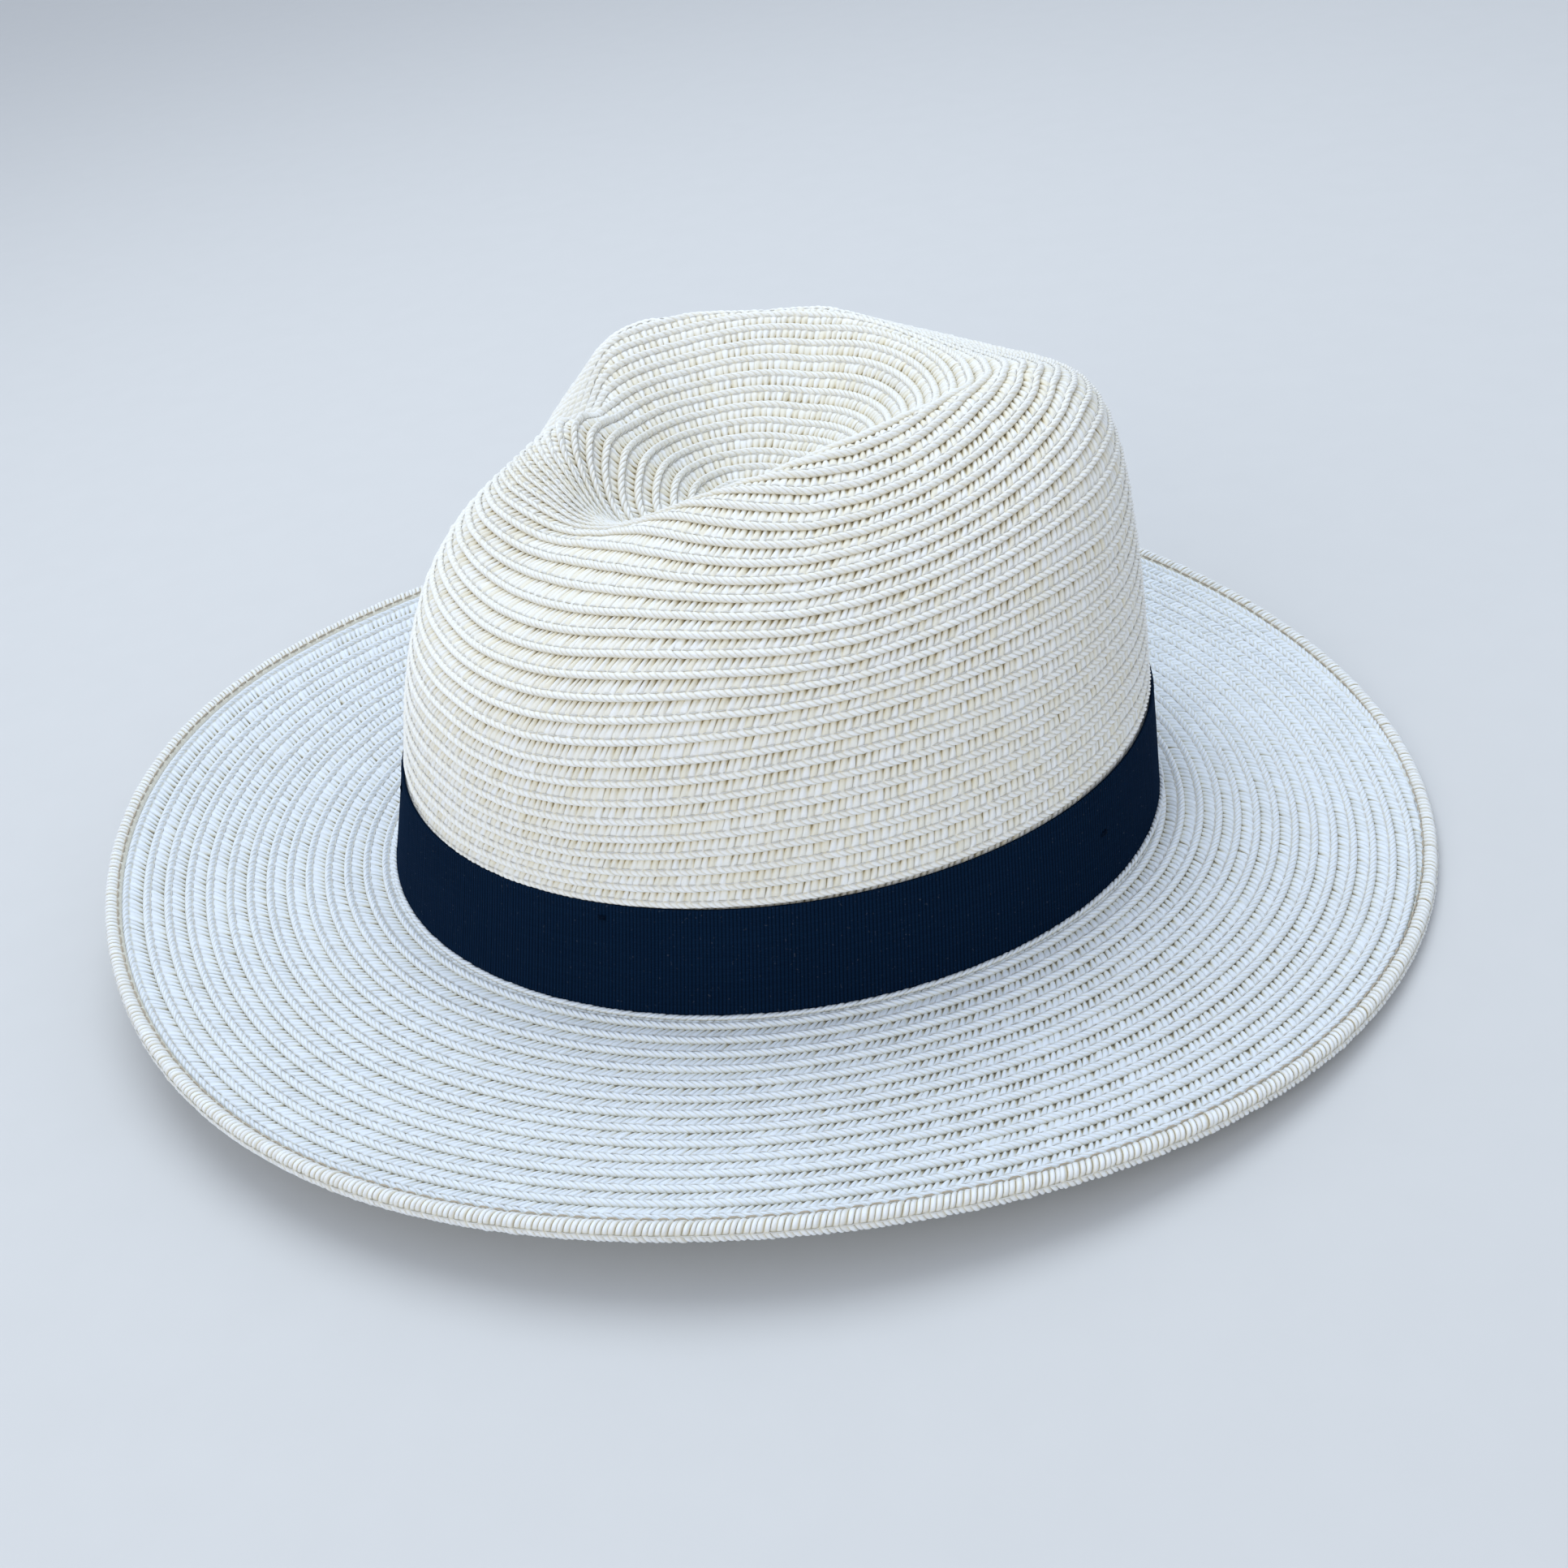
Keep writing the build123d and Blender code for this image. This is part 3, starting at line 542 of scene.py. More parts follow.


# one straw in three copies: the brim copy is tinted cool blue as painted sky light on the upward-facing brim, and the
# edge copy has a milder cool tint of the same kind; the crown copy is warmer, partly the straw's own cream and partly
# painted warm bounce light; the last colour of each is painted shade for the deepest gaps
M_CROWN = straw_material("straw_crown", (0.875, 0.89, 0.90), (0.825, 0.795, 0.69), (0.70, 0.63, 0.47), (0.085, 0.068, 0.035))
M_BRIM_SKYLIT = straw_material("straw_brim", (0.78, 0.84, 0.92), (0.715, 0.765, 0.82), (0.66, 0.65, 0.60), (0.075, 0.072, 0.065))
M_EDGE = straw_material("straw_edge", (0.83, 0.865, 0.905), (0.775, 0.785, 0.785), (0.66, 0.63, 0.55), (0.11, 0.095, 0.07))
M_THREAD = thread_material("white_thread", (0.88, 0.88, 0.86), (0.55, 0.53, 0.48))
M_TAN = thread_material("tan_thread", (0.60, 0.52, 0.40), (0.32, 0.25, 0.17))
M_NAVYT = thread_material("navy_thread", (0.003, 0.010, 0.026), (0.001, 0.003, 0.009), 0.0)
for _n in M_NAVYT.node_tree.nodes:
    if _n.type == "BSDF_PRINCIPLED":
        _n.inputs["Specular IOR Level"].default_value = 0.05
        _n.inputs["IOR"].default_value = 1.25

# =====================================================================
# plaited courses
# =====================================================================
#            side      where along the width       height  slant relief cavity (painted shade)  kind
#  where: ("r", f) = f of the ridge width, ("b", f) = ridge + f of the flat band, ("t", f) = pitch + f of the ridge
# the cavity column is painted shade: row 0 under the ridge, row 6 in the stitch groove, rows 11 and 12 at the tucked
# end under the next ridge
ROWS = [
    (("r", 0.10), -1.15, 0.86, 0.00, 0.50),
    (("r", -0.03), -0.55, 0.82, 0.16, 0.24),
    (("r", 0.10), 0.08, 0.54, 0.36, 0.04),
    (("r", 0.33), 0.47, 0.12, 0.42, 0.00),
    (("r", 0.64), 0.50, -0.34, 0.42, 0.00),
    (("r", 0.92), 0.12, -0.70, 0.32, 0.04),
    (("b", 0.03), -0.30, -0.76, 0.08, 0.42),
    (("b", 0.16), -0.16, -0.68, 0.34, 0.02),
    (("b", 0.40), -0.08, -0.50, 0.70, 0.00),
    (("b", 0.68), -0.26, -0.32, 1.15, 0.03),
    (("b", 0.93), -0.58, -0.16, 1.30, 0.18),
    (("t", 0.28), -0.95, -0.08, 0.70, 0.60),
    (("t", 0.58), -1.20, -0.04, 0.00, 0.70),
    (("t", 0.48), -1.78, 0.10, 0.18, 0.10),
    (("t", -0.05), -1.90, -0.22, 0.20, 0.04),
    (("b", 0.45), -1.60, -0.10, 0.30, 0.18),
    (("b", -0.25), -1.45, 0.25, 0.15, 0.30),
]
COLS = np.array([0.0, 0.13, 0.30, 0.50, 0.70, 0.87])
CDEP = np.array([-1.0, -0.46, -0.09, 0.0, -0.09, -0.46])


def spiral_courses(prefix, tab, t0, t1, th0, pitch, mat, wlo, whi, gap_scale, hide=None, seed=1,
                   rope=1.75, per_piece=900, slant_band=1.0, hmul=1.0, cavity_shade_mul=1.0, body="hat", joggle=None,
                   rope_cavity_shade=0.42):
    """one long plaited strip wound in a spiral, as closed strips of about a thousand strands each"""
    r = np.random.default_rng(seed)
    t = np.linspace(t0, t1, int((t1 - t0) * 1080))
    th = th0 + TAU * t
    if joggle:                                       # each course keeps its place and steps over at the back
        fr = np.clip((t - np.floor(t) - joggle[0]) / joggle[1], 0, 1)
        W = np.floor(t) + fr * fr * (3 - 2 * fr)
    else:
        W = t
    wm = np.clip(W + 0.35, wlo, whi)
    P = tab.P(wm, th)
    S = np.r_[0, np.cumsum(np.linalg.norm(np.diff(P, axis=0), axis=-1))]
    nk = int(S[-1] / pitch)
    gp = (tab.G(np.clip(W + 0.15, wlo, whi), th) + tab.G(np.clip(W + 0.5, wlo, whi), th)
          + tab.G(np.clip(W + 0.85, wlo, whi), th)) / 3
    # per strand variation
    open_ = np.clip(r.normal(0.72, 0.30, nk + 8), 0.12, 1.35) * gap_scale
    slow = np.interp(np.arange(nk + 8), np.arange(0, nk + 40, 14), r.normal(0, 1, len(np.arange(0, nk + 40, 14))))
    open_ = np.clip(open_ * (1 + 0.28 * slow), 0.08, 1.5)
    lift = r.normal(0, 0.055, nk + 8)
    tint = np.clip(0.42 + 0.30 * (np.arange(nk + 8) % 2 * 2 - 1) * (r.random(nk + 8) > 0.25)
                   + r.normal(0, 0.22, nk + 8), 0, 1)
    jig = r.normal(0, 0.06, nk + 8)
    lean_j = r.normal(0, 0.022, nk + 8)
    # a tenth of the strands get a wider hole, drawn only as extra painted shade in their gap column
    hole_shade = (r.random(nk + 8) < 0.10) * r.random(nk + 8)
    nc, nr = len(COLS), len(ROWS)
    out = []
    start = 0
    part = 0
    parts = max(1, int(round(nk / per_piece)))
    cuts = np.linspace(0, nk - 1, parts + 1).astype(int)
    for a, b in zip(cuts[:-1], cuts[1:]):
        part += 1
        ks = np.arange(a, b + 1)
        K = np.repeat(ks, nc)
        C = np.tile(np.arange(nc), len(ks))
        K, C = K[:len(K) - nc + 1], C[:len(C) - nc + 1]          # end on a gap column
        n = len(K)
        V = np.empty((n, nr, 3), np.float32)
        TI = np.empty((n, nr), np.float32)
        CA = np.empty((n, nr), np.float32)
        for j, (where, h, sl, rel, cavity_shade) in enumerate(ROWS):
            cc = COLS[C].copy()
            op = open_[K] * (0.5 + 0.5 * (CDEP[C] < -0.9)) + 0 * cc
            if where[0] == "b" or j in (10, 11):                 # the gap widens towards the tucked end
                wid = 0.03 + 0.115 * open_[K] * min(1.0, max(0.0, (j - 7) / 3.0))
                cc = np.where(C == 1, 0.05 + wid, np.where(C == 5, 0.95 - wid, cc))
            s_sl = sl
            if 6 <= j <= 12:
                s_sl = -0.74 + (sl + 0.74) * slant_band
            u = K + cc + s_sl + jig[K] * (1 if 7 <= j <= 12 else 0.35) + lean_j[K] * (max(0, j - 7) if j <= 12 else 0)
            tt = np.interp(u * pitch, S, t)
            theta = th0 + TAU * tt
            p = np.interp(tt, t, gp)
            rw = np.minimum(rope, 0.46 * p)
            hs = np.clip(p / 4.3, 0.55, 1.0) * (hmul(theta, np.interp(tt, t, W)) if callable(hmul) else hmul)
            band = p - rw
            if where[0] == "r":
                x = where[1] * rw
            elif where[0] == "b":
                x = rw + where[1] * band
            else:
                x = p + where[1] * rw
            w = np.interp(tt, t, W) + x / np.maximum(p, 0.3)
            w = np.where(w < wlo, wlo + 0.02 * (w - wlo + 1.5), w)
            w = np.where(w > whi, whi + 0.01 * (w - whi), w)
            theta_n = theta
            base = tab.P(w, theta_n)
            nor = tab.N(w, theta_n)
            hh = np.where(h > -0.5, h * hs, h * (0.75 + 0.25 * hs))
            d = CDEP[C] * rel * np.where(j >= 7, open_[K], 0.85)
            if j >= 12:
                d = -d
            d = d * hs
            hgt = hh + d + lift[K] * (1 if 2 <= j <= 10 else 0)
            if 6 <= j <= 12:
                hgt = np.maximum(hgt, {10: -1.02, 11: -1.14, 12: -1.24}.get(j, -0.98))
            elif j >= 13:
                hgt = np.minimum(hgt, -1.36)
            if hide is not None:
                hgt = hgt - hide(base, tt) * (1 if j < 12 else 0.0)
            V[:, j] = base + hgt[:, None] * nor
            # painted shade: the gap columns and the tucked end of the band darken, the holes darken further, and the
            # stitch groove gets dark dashes
            gap_shade = np.where(C == 0, 1.0, np.where((C == 1) | (C == 5), 0.30, 0.0))
            if 7 <= j <= 11:
                cv = cavity_shade + gap_shade * (0.30 + 0.70 * np.clip(open_[K], 0, 1)) * {7: 0.16, 8: 0.32, 9: 0.78, 10: 1.15, 11: 1.0}[j]
                cv = cv + hole_shade[K] * (C == 0) * 0.5
            elif j == 6:
                dash = ((K * nc + C) % 11) < 6
                cv = cavity_shade * np.where(dash, 1.0, 0.35)
            else:
                cv = cavity_shade + gap_shade * (rope_cavity_shade if 1 <= j <= 5 else 0.16)
            CA[:, j] = np.clip(cv * cavity_shade_mul, 0, 1)
            TI[:, j] = tint[K] * (1.0 if 7 <= j <= 12 else 0.40)
        if a == 0 or b == nk - 1:                                 # nothing happens here; the end caps below close both ends of every piece
            pass
        q, I, J = grid_faces(n, nr, False, True)
        verts = V.reshape(-1, 3)
        # end caps
        caps = []
        mid = []
        for e in (0, n - 1):
            c = V[e].mean(0)
            mid.append(c)
        nv = len(verts)
        verts = np.vstack([verts, np.array(mid)])
        q = orient(verts, q)
        tri = []
        flip = not np.array_equal(q[0], grid_faces(2, nr, False, True)[0][0])
        for m_i, e in enumerate((0, n - 1)):
            i0 = e * nr + np.arange(nr)
            i1 = e * nr + (np.arange(nr) + 1) % nr
            cc = np.full(nr, nv + m_i)
            f = np.stack([i0, i1, cc], -1) if (m_i == 0) != flip else np.stack([i1, i0, cc], -1)
            tri.append(f)
        uvo = folded_uv(I, J, n - 1, nr, target=2.2)
        su = (np.arange(n + 1) / nc * pitch)
        sv = np.array([0, 0.5, 1.0, 1.5, 2.0, 2.5, 2.9, 3.3, 4.0, 4.9, 5.8, 6.4, 6.9, 7.5, 8.3, 9.6, 11.0, 12.0])
        uvg = face_uv(I, J, su, sv)
        if flip:
            uvo, uvg = uvo[:, ::-1], uvg[:, ::-1]
        obj = build_mixed("%s_%02d" % (prefix, part), verts, q, np.vstack(tri), mat,
                          {"tint": np.r_[TI.ravel(), 0.5, 0.5], "cavity_shade": np.r_[CA.ravel(), 0.5, 0.5]},
                          {"strand": uvg, "OFBake": uvo}, body)
        out.append(obj)
    return out


def build_mixed(name, verts_mm, quads, tris, mat, attrs, uvq, body):
    me = bpy.data.meshes.new(name)
    v = (np.asarray(verts_mm, np.float64) * 0.001).astype(np.float32)
    nq, nt_ = len(quads), len(tris)
    me.vertices.add(len(v))
    me.vertices.foreach_set("co", v.ravel())
    li = np.r_[quads.astype(np.int32).ravel(), tris.astype(np.int32).ravel()]
    me.loops.add(len(li))
    me.loops.foreach_set("vertex_index", li)
    me.polygons.add(nq + nt_)
    ls = np.r_[np.arange(nq) * 4, nq * 4 + np.arange(nt_) * 3].astype(np.int32)
    me.polygons.foreach_set("loop_start", ls)
    me.polygons.foreach_set("loop_total", np.r_[np.full(nq, 4), np.full(nt_, 3)].astype(np.int32))
    me.update(calc_edges=True)
    me.polygons.foreach_set("use_smooth", np.ones(nq + nt_, bool))
    for an, av in attrs.items():
        a = me.attributes.new(an, "FLOAT", "POINT")
        a.data.foreach_set("value", np.asarray(av, np.float32).ravel())
    for un, uv in uvq.items():
        lay = me.uv_layers.new(name=un)
        full = np.vstack([uv.reshape(-1, 2), np.tile([[0.0005, 0.0005], [0.001, 0.0005], [0.0005, 0.001]], (nt_, 1))])
        lay.data.foreach_set("uv", full.astype(np.float32).ravel())
    me.materials.append(mat)
    ob = bpy.data.objects.new(name, me)
    bpy.context.scene.collection.objects.link(ob)
    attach(ob, body)
    return ob


def under_band(base, tt):
    z = base[:, 2]
    f = np.clip((BAND_H + 0.6 - z) / 1.6, 0, 1)
    return 0.42 * f * f * (3 - 2 * f)


def proud(th, w):
    """the courses stand shingled over one another high on the front of the crown"""
    up = np.clip((w - 15) / 8, 0, 1)
    return 1.12 + 1.15 * up * np.exp(-(gap180(th, np.radians(-14)) / np.radians(30)) ** 2)


crown_parts = spiral_courses("crown_braid_courses", CROWN, -0.95, N_CROWN - 0.15, np.radians(200), 1.75, M_CROWN,
                             0.02, N_CROWN - 0.01, 1.0, hide=under_band, seed=11,
                             slant_band=0.42, hmul=proud, rope_cavity_shade=0.30)
for o in crown_parts:
    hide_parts("crown_braid")

brim_parts = spiral_courses("brim_braid_courses", BRIM, -0.56, N_BRIM - 1 + 0.56, 0.0, 1.75, M_BRIM_SKYLIT,
                            0.0, N_BRIM + 0.35, 1.05, seed=23, slant_band=1.5, cavity_shade_mul=1.0,
                            joggle=(0.43, 0.14), rope_cavity_shade=0.34)
for o in brim_parts:
    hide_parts("brim_braid")
# =====================================================================
# folded edge course round the brim wire
# =====================================================================
THR = np.linspace(0, TAU, 1441)
_m = brim_top(V_C, THR)
_e = 1e-3
_a = brim_top(V_C + _e, THR) - brim_top(V_C - _e, THR)
_b = np.gradient(_m, axis=0)
_b[0] = _b[-1] = brim_top(V_C, np.array([_e]))[0] - brim_top(V_C, np.array([-_e]))[0]
_nn = np.cross(_a, _b)
_nn /= np.linalg.norm(_nn, axis=1, keepdims=True)
_nn *= np.sign(_nn[:, 2:3])
EDGE_MID = _m - BRIM_T / 2 * _nn
_et = np.gradient(EDGE_MID, axis=0)
_et[0] = _et[-1] = EDGE_MID[1] - EDGE_MID[-2]
_et /= np.linalg.norm(_et, axis=1, keepdims=True)
EDGE_N = np.cross(_et, [0, 0, 1.0])
EDGE_N /= np.linalg.norm(EDGE_N, axis=1, keepdims=True)
EDGE_U = np.cross(EDGE_N, _et)
EDGE_U *= np.sign(EDGE_U[:, 2:3])


def along(tab, th):
    """reads a per-angle table of vectors at any angles"""
    x = (np.asarray(th) % TAU) / TAU * (len(tab) - 1)
    return np.stack([np.interp(x, np.arange(len(tab)), tab[:, a]) for a in range(3)], -1)


def edge_point(th, deg, r):
    a = np.radians(deg)
    return along(EDGE_MID, th) + np.asarray(r)[..., None] * (-np.cos(a) * along(EDGE_N, th) + np.sin(a) * along(EDGE_U, th))


def plait_ring(name, cen, e1, e2, rows, pitch, mat, seed=5, tint0=0.35, open0=0.9, body="hat"):
    """closed ring of slanted strands round a closed centre line; rows are (degrees, radius, slant, relief, cavity),
    the cavity being painted shade
    """
    r = np.random.default_rng(seed)
    seg = np.r_[0, np.cumsum(np.linalg.norm(np.diff(cen, axis=0), axis=1))]
    ths = np.linspace(0, TAU, len(cen))
    nk = int(round(seg[-1] / pitch))
    pitch = seg[-1] / nk
    nc, nr = len(COLS), len(rows)
    K = np.repeat(np.arange(nk), nc)
    C = np.tile(np.arange(nc), nk)
    op = np.clip(r.normal(open0, 0.34, nk), 0.2, 1.6)
    jg = r.normal(0, 0.075, nk)
    lift = r.normal(0, 0.06, nk)
    tint = np.clip(tint0 + 0.25 * (np.arange(nk) % 2 * 2 - 1) + r.normal(0, 0.2, nk), 0, 1)
    n = nk * nc
    V = np.empty((n, nr, 3)); TI = np.empty((n, nr)); CA = np.empty((n, nr))
    for j, (deg, rad, sl, rel, cavity_shade) in enumerate(rows):
        u = (K + COLS[C] + sl + jg[K] * (rel > 0.2)) % nk
        th = np.interp(u * pitch, seg, ths)
        a = np.radians(deg)
        rr = rad + CDEP[C] * rel * op[K] + lift[K] * (rel > 0.1)
        V[:, j] = along(cen, th) + rr[:, None] * (-np.cos(a) * along(e1, th) + np.sin(a) * along(e2, th))
        # painted shade: each row's cavity plus extra darkening in the gap columns
        CA[:, j] = np.clip(cavity_shade + np.where(C == 0, 1.0, np.where((C == 1) | (C == 5), 0.25, 0)) * min(0.8, rel * 1.1), 0, 1)
        TI[:, j] = tint[K] * (1.0 if rel > 0.2 else 0.5)
    q, I, J = grid_faces(n, nr, True, True)
    verts = V.reshape(-1, 3)
    q0 = q
    q = orient(verts, q)
    uvo = folded_uv(I, J, n, nr, target=2.0)
    uvg = face_uv(I, J, np.arange(n + 1) / nc * pitch, np.arange(nr + 1) * 0.7)
    if q is not q0:
        uvo, uvg = uvo[:, ::-1], uvg[:, ::-1]
    return build(name, verts, q, mat, body, {"tint": TI.ravel(), "cavity_shade": CA.ravel()},
                 {"strand": uvg, "OFBake": uvo})


# the last column is painted shade: darkest in the valley beside the last rope of the brim (15 to 54 degrees) and in
# the grooves at 173 and 266 degrees
EDGE_ROWS = [
    (15, 2.00, 0.60, 0.05, 0.30), (36, 1.86, 0.54, 0.10, 0.34), (54, 1.82, 0.46, 0.26, 0.24),
    (70, 1.98, 0.34, 0.52, 0.06), (88, 2.30, 0.20, 0.66, 0.00), (108, 2.60, 0.04, 0.72, 0.00),
    (128, 2.74, -0.12, 0.72, 0.00), (147, 2.62, -0.27, 0.64, 0.04), (163, 2.32, -0.38, 0.44, 0.16),
    (173, 2.14, -0.46, 0.12, 0.42), (184, 2.36, -0.34, 0.36, 0.08), (200, 2.72, -0.06, 0.46, 0.00),
    (220, 2.84, 0.26, 0.46, 0.00), (242, 2.66, 0.52, 0.36, 0.04), (266, 2.22, 0.66, 0.12, 0.36),
    (295, 2.12, 0.62, 0.26, 0.06), (322, 2.10, 0.64, 0.28, 0.04), (350, 2.00, 0.62, 0.10, 0.20),
]
edge_ob = plait_ring("brim_edge_course", EDGE_MID, EDGE_N, EDGE_U, EDGE_ROWS, 1.42, M_EDGE, seed=41)
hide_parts("brim_edge_braid")

# the plaited edge that shows as a comb of strand ends along the foot of the ribbon
_f = wall(0.0, 1.75, THR)
_f[:, 2] = -0.05
_ft = np.gradient(_f, axis=0); _ft[0] = _ft[-1] = _f[1] - _f[-2]
_ft /= np.linalg.norm(_ft, axis=1, keepdims=True)
_fn = np.cross(_ft, [0, 0, 1.0])
_fu = np.tile([0, 0, 1.0], (len(_f), 1))
# the last column of these rows is painted shade in the grooves of the foot and fold courses
FOOT_ROWS = [(0, 1.05, 0.9, 0.45, 0.25), (30, 0.90, 0.7, 0.45, 0.05), (60, 0.72, 0.45, 0.32, 0.0),
             (95, 0.66, 0.2, 0.30, 0.0), (130, 0.66, -0.05, 0.28, 0.0), (165, 0.60, -0.3, 0.20, 0.25),
             (210, 0.60, -0.4, 0.05, 0.4), (270, 0.60, 0.2, 0.0, 0.4), (320, 0.75, 0.7, 0.1, 0.4)]
_g = wall(0.0, -0.60, THR)
_g[:, 2] = -1.00
FOLD_ROWS = [(d, 1.05, 0.5 * math.sin(math.radians(d)), 0.34, 0.05) for d in range(0, 360, 36)]
plait_ring("brim_break_fold_course", _g, _fn, _fu, FOLD_ROWS, 1.75, M_BRIM_SKYLIT, seed=44, tint0=0.3)
foot_ob = plait_ring("brim_braid_foot_course", _f, _fn, _fu, FOOT_ROWS, 1.75, M_BRIM_SKYLIT, seed=43, tint0=0.25)

print("tris", sum(len(o.data.polygons) * 2 for o in crown_parts + brim_parts), len(crown_parts), len(brim_parts))


# =====================================================================
# threads: every stitch is its own short bowed strand
# =====================================================================
def stitches(name, path, nrm, length, gap, radius, mat, slot, arch=0.10, sink=0.35, sides=5, rings=5, body="hat",
             skew=0.0, seed=3, closed=True):
    """lays stitches along a path (mm) with outward normals; their ends dive into the straw"""
    r = np.random.default_rng(seed)
    seg = np.r_[0, np.cumsum(np.linalg.norm(np.diff(path, axis=0), axis=1))]
    step = length + gap
    n = int(seg[-1] / step)
    step = seg[-1] / n
    st = np.arange(n) * step + gap / 2
    u = np.linspace(0, 1, rings)
    s = (st[:, None] + u[None] * (step - gap)) + r.normal(0, 0.04, (n, 1))
    x = np.clip(s, 0, seg[-1])
    P = np.stack([np.interp(x, seg, path[:, a]) for a in range(3)], -1)
    N = np.stack([np.interp(x, seg, nrm[:, a]) for a in range(3)], -1)
    N /= np.linalg.norm(N, axis=-1, keepdims=True)
    T = P[:, -1:] - P[:, :1]
    T = T / np.linalg.norm(T, axis=-1, keepdims=True) + 0 * P
    B = np.cross(N, T)
    up = arch * np.sin(np.pi * u) - sink * (np.abs(2 * u - 1) ** 6)
    P = P + up[None, :, None] * N + (r.normal(0, 0.03, (n, 1, 1)) + skew * (u - 0.5)[None, :, None]) * B
    rad = radius * (1 - 0.25 * np.abs(2 * u - 1) ** 4) * 1.0
    a = np.linspace(0, TAU, sides, endpoint=False)
    V = (P[:, :, None] + (rad[None, :, None] * np.cos(a)[None, None])[..., None] * N[:, :, None] * 0.8
         + (rad[None, :, None] * np.sin(a)[None, None])[..., None] * B[:, :, None])
    verts = V.reshape(-1, 3)
    base = np.arange(n)[:, None, None] * (rings * sides)
    i = np.arange(rings - 1)[None, :, None]
    j = np.arange(sides)[None, None]
    j2 = (j + 1) % sides
    q = np.stack(np.broadcast_arrays(base + i * sides + j, base + (i + 1) * sides + j,
                                     base + (i + 1) * sides + j2, base + i * sides + j2), -1)
    fi, fj = np.broadcast_to(i, q.shape[:3]).reshape(-1), np.broadcast_to(j, q.shape[:3]).reshape(-1)
    fs = np.broadcast_to(np.arange(n)[:, None, None], q.shape[:3]).reshape(-1)
    q = q.reshape(-1, 4)
    caps = []
    for e, rev in ((0, False), (rings - 1, True)):
        c = base[:, :, 0] + e * sides
        f = c + (np.arange(sides)[None] if rev else np.arange(sides)[None, ::-1])
        caps.append(f)
    # fan the caps into triangles via a pole on the first vertex
    tri = []
    for f in caps:
        for k in range(1, sides - 1):
            tri.append(np.stack([f[:, 0], f[:, k], f[:, k + 1]], -1))
    tri = np.concatenate(tri)
    a0, b0, c0 = verts[q[:sides * 2, 0]], verts[q[:sides * 2, 1]], verts[q[:sides * 2, 2]]
    cen = verts[:rings * sides].mean(0)
    if np.einsum("ij,ij->", np.cross(b0 - a0, c0 - a0), a0 - cen) < 0:
        q = q[:, ::-1]
        tri = tri[:, ::-1]
    per = max(1, int(math.ceil(math.sqrt(n / 4.0))))
    rows_ = int(math.ceil(n / per))
    cx, cy = fs % per, fs // per
    pu = 0.06
    u0 = (cx + pu + (1 - 2 * pu) * fi / (rings - 1)) / per
    u1 = (cx + pu + (1 - 2 * pu) * (fi + 1) / (rings - 1)) / per
    v0 = (cy + pu + (1 - 2 * pu) * fj / sides) / rows_
    v1 = (cy + pu + (1 - 2 * pu) * (fj + 1) / sides) / rows_
    uvo = np.stack([np.stack([u0, v0], -1), np.stack([u1, v0], -1), np.stack([u1, v1], -1), np.stack([u0, v1], -1)], 1)
    su0, su1 = fs * step + fi * length / (rings - 1), fs * step + (fi + 1) * length / (rings - 1)
    sv0, sv1 = fj * 0.3, (fj + 1) * 0.3
    uvg = np.stack([np.stack([su0, sv0], -1), np.stack([su1, sv0], -1), np.stack([su1, sv1], -1), np.stack([su0, sv1], -1)], 1)
    me_uv = {"strand": uvg, "OFBake": uvo}
    return build_mixed(name, verts, q, tri, mat, {}, me_uv, body)


def course_line(tab, t0, t1, th0, wlo, whi, frac, height, rope=1.75, joggle=None, hide=None):
    """the stitch line that runs along every course just inside its ridge"""
    t = np.linspace(t0, t1, int((t1 - t0) * 720))
    th = th0 + TAU * t
    if joggle:
        fr = np.clip((t - np.floor(t) - joggle[0]) / joggle[1], 0, 1)
        W = np.floor(t) + fr * fr * (3 - 2 * fr)
    else:
        W = t
    p = (tab.G(np.clip(W + 0.15, wlo, whi), th) + tab.G(np.clip(W + 0.5, wlo, whi), th)
         + tab.G(np.clip(W + 0.85, wlo, whi), th)) / 3
    rw = np.minimum(rope, 0.46 * p)
    w = np.clip(W + (rw + frac * (p - rw)) / np.maximum(p, 0.3), wlo, whi)
    base, n = tab.P(w, th), tab.N(w, th)
    h = np.full(len(t), height)
    if hide is not None:
        h = h - hide(base, t)
    return (base + h[:, None] * n).astype(float), n.astype(float)


pth, nr_ = course_line(CROWN, 0.0, N_CROWN - 0.7, np.radians(200), 0.02, N_CROWN - 0.05, 0.07, -0.12, hide=under_band)
half = len(pth) // 2
for i, (a, b) in enumerate(((0, half // 2 * 1), (half // 2, half), (half, len(pth)))):
    stitches("crown_lock_stitching_%02d" % (i + 1), pth[a:b], nr_[a:b], 2.5, 0.55, 0.17, M_THREAD, "white_thread",
             arch=0.10, sink=0.30, sides=4, rings=4, seed=50 + i)
pth, nr_ = course_line(BRIM, 0.1, N_BRIM - 0.55, 0.0, 0.0, N_BRIM, 0.07, -0.14, joggle=(0.43, 0.14))
half = len(pth) // 2
for i, (a, b) in enumerate(((0, half), (half, len(pth)))):
    stitches("brim_lock_stitching_%02d" % (i + 1), pth[a:b], nr_[a:b], 2.5, 0.55, 0.17, M_THREAD, "white_thread",
             arch=0.10, sink=0.30, sides=4, rings=4, seed=60 + i)


def edge_line(deg, r):
    a = np.radians(deg)
    p = edge_point(THR, deg, np.full(len(THR), r))
    return p, -np.cos(a) * EDGE_N + np.sin(a) * EDGE_U


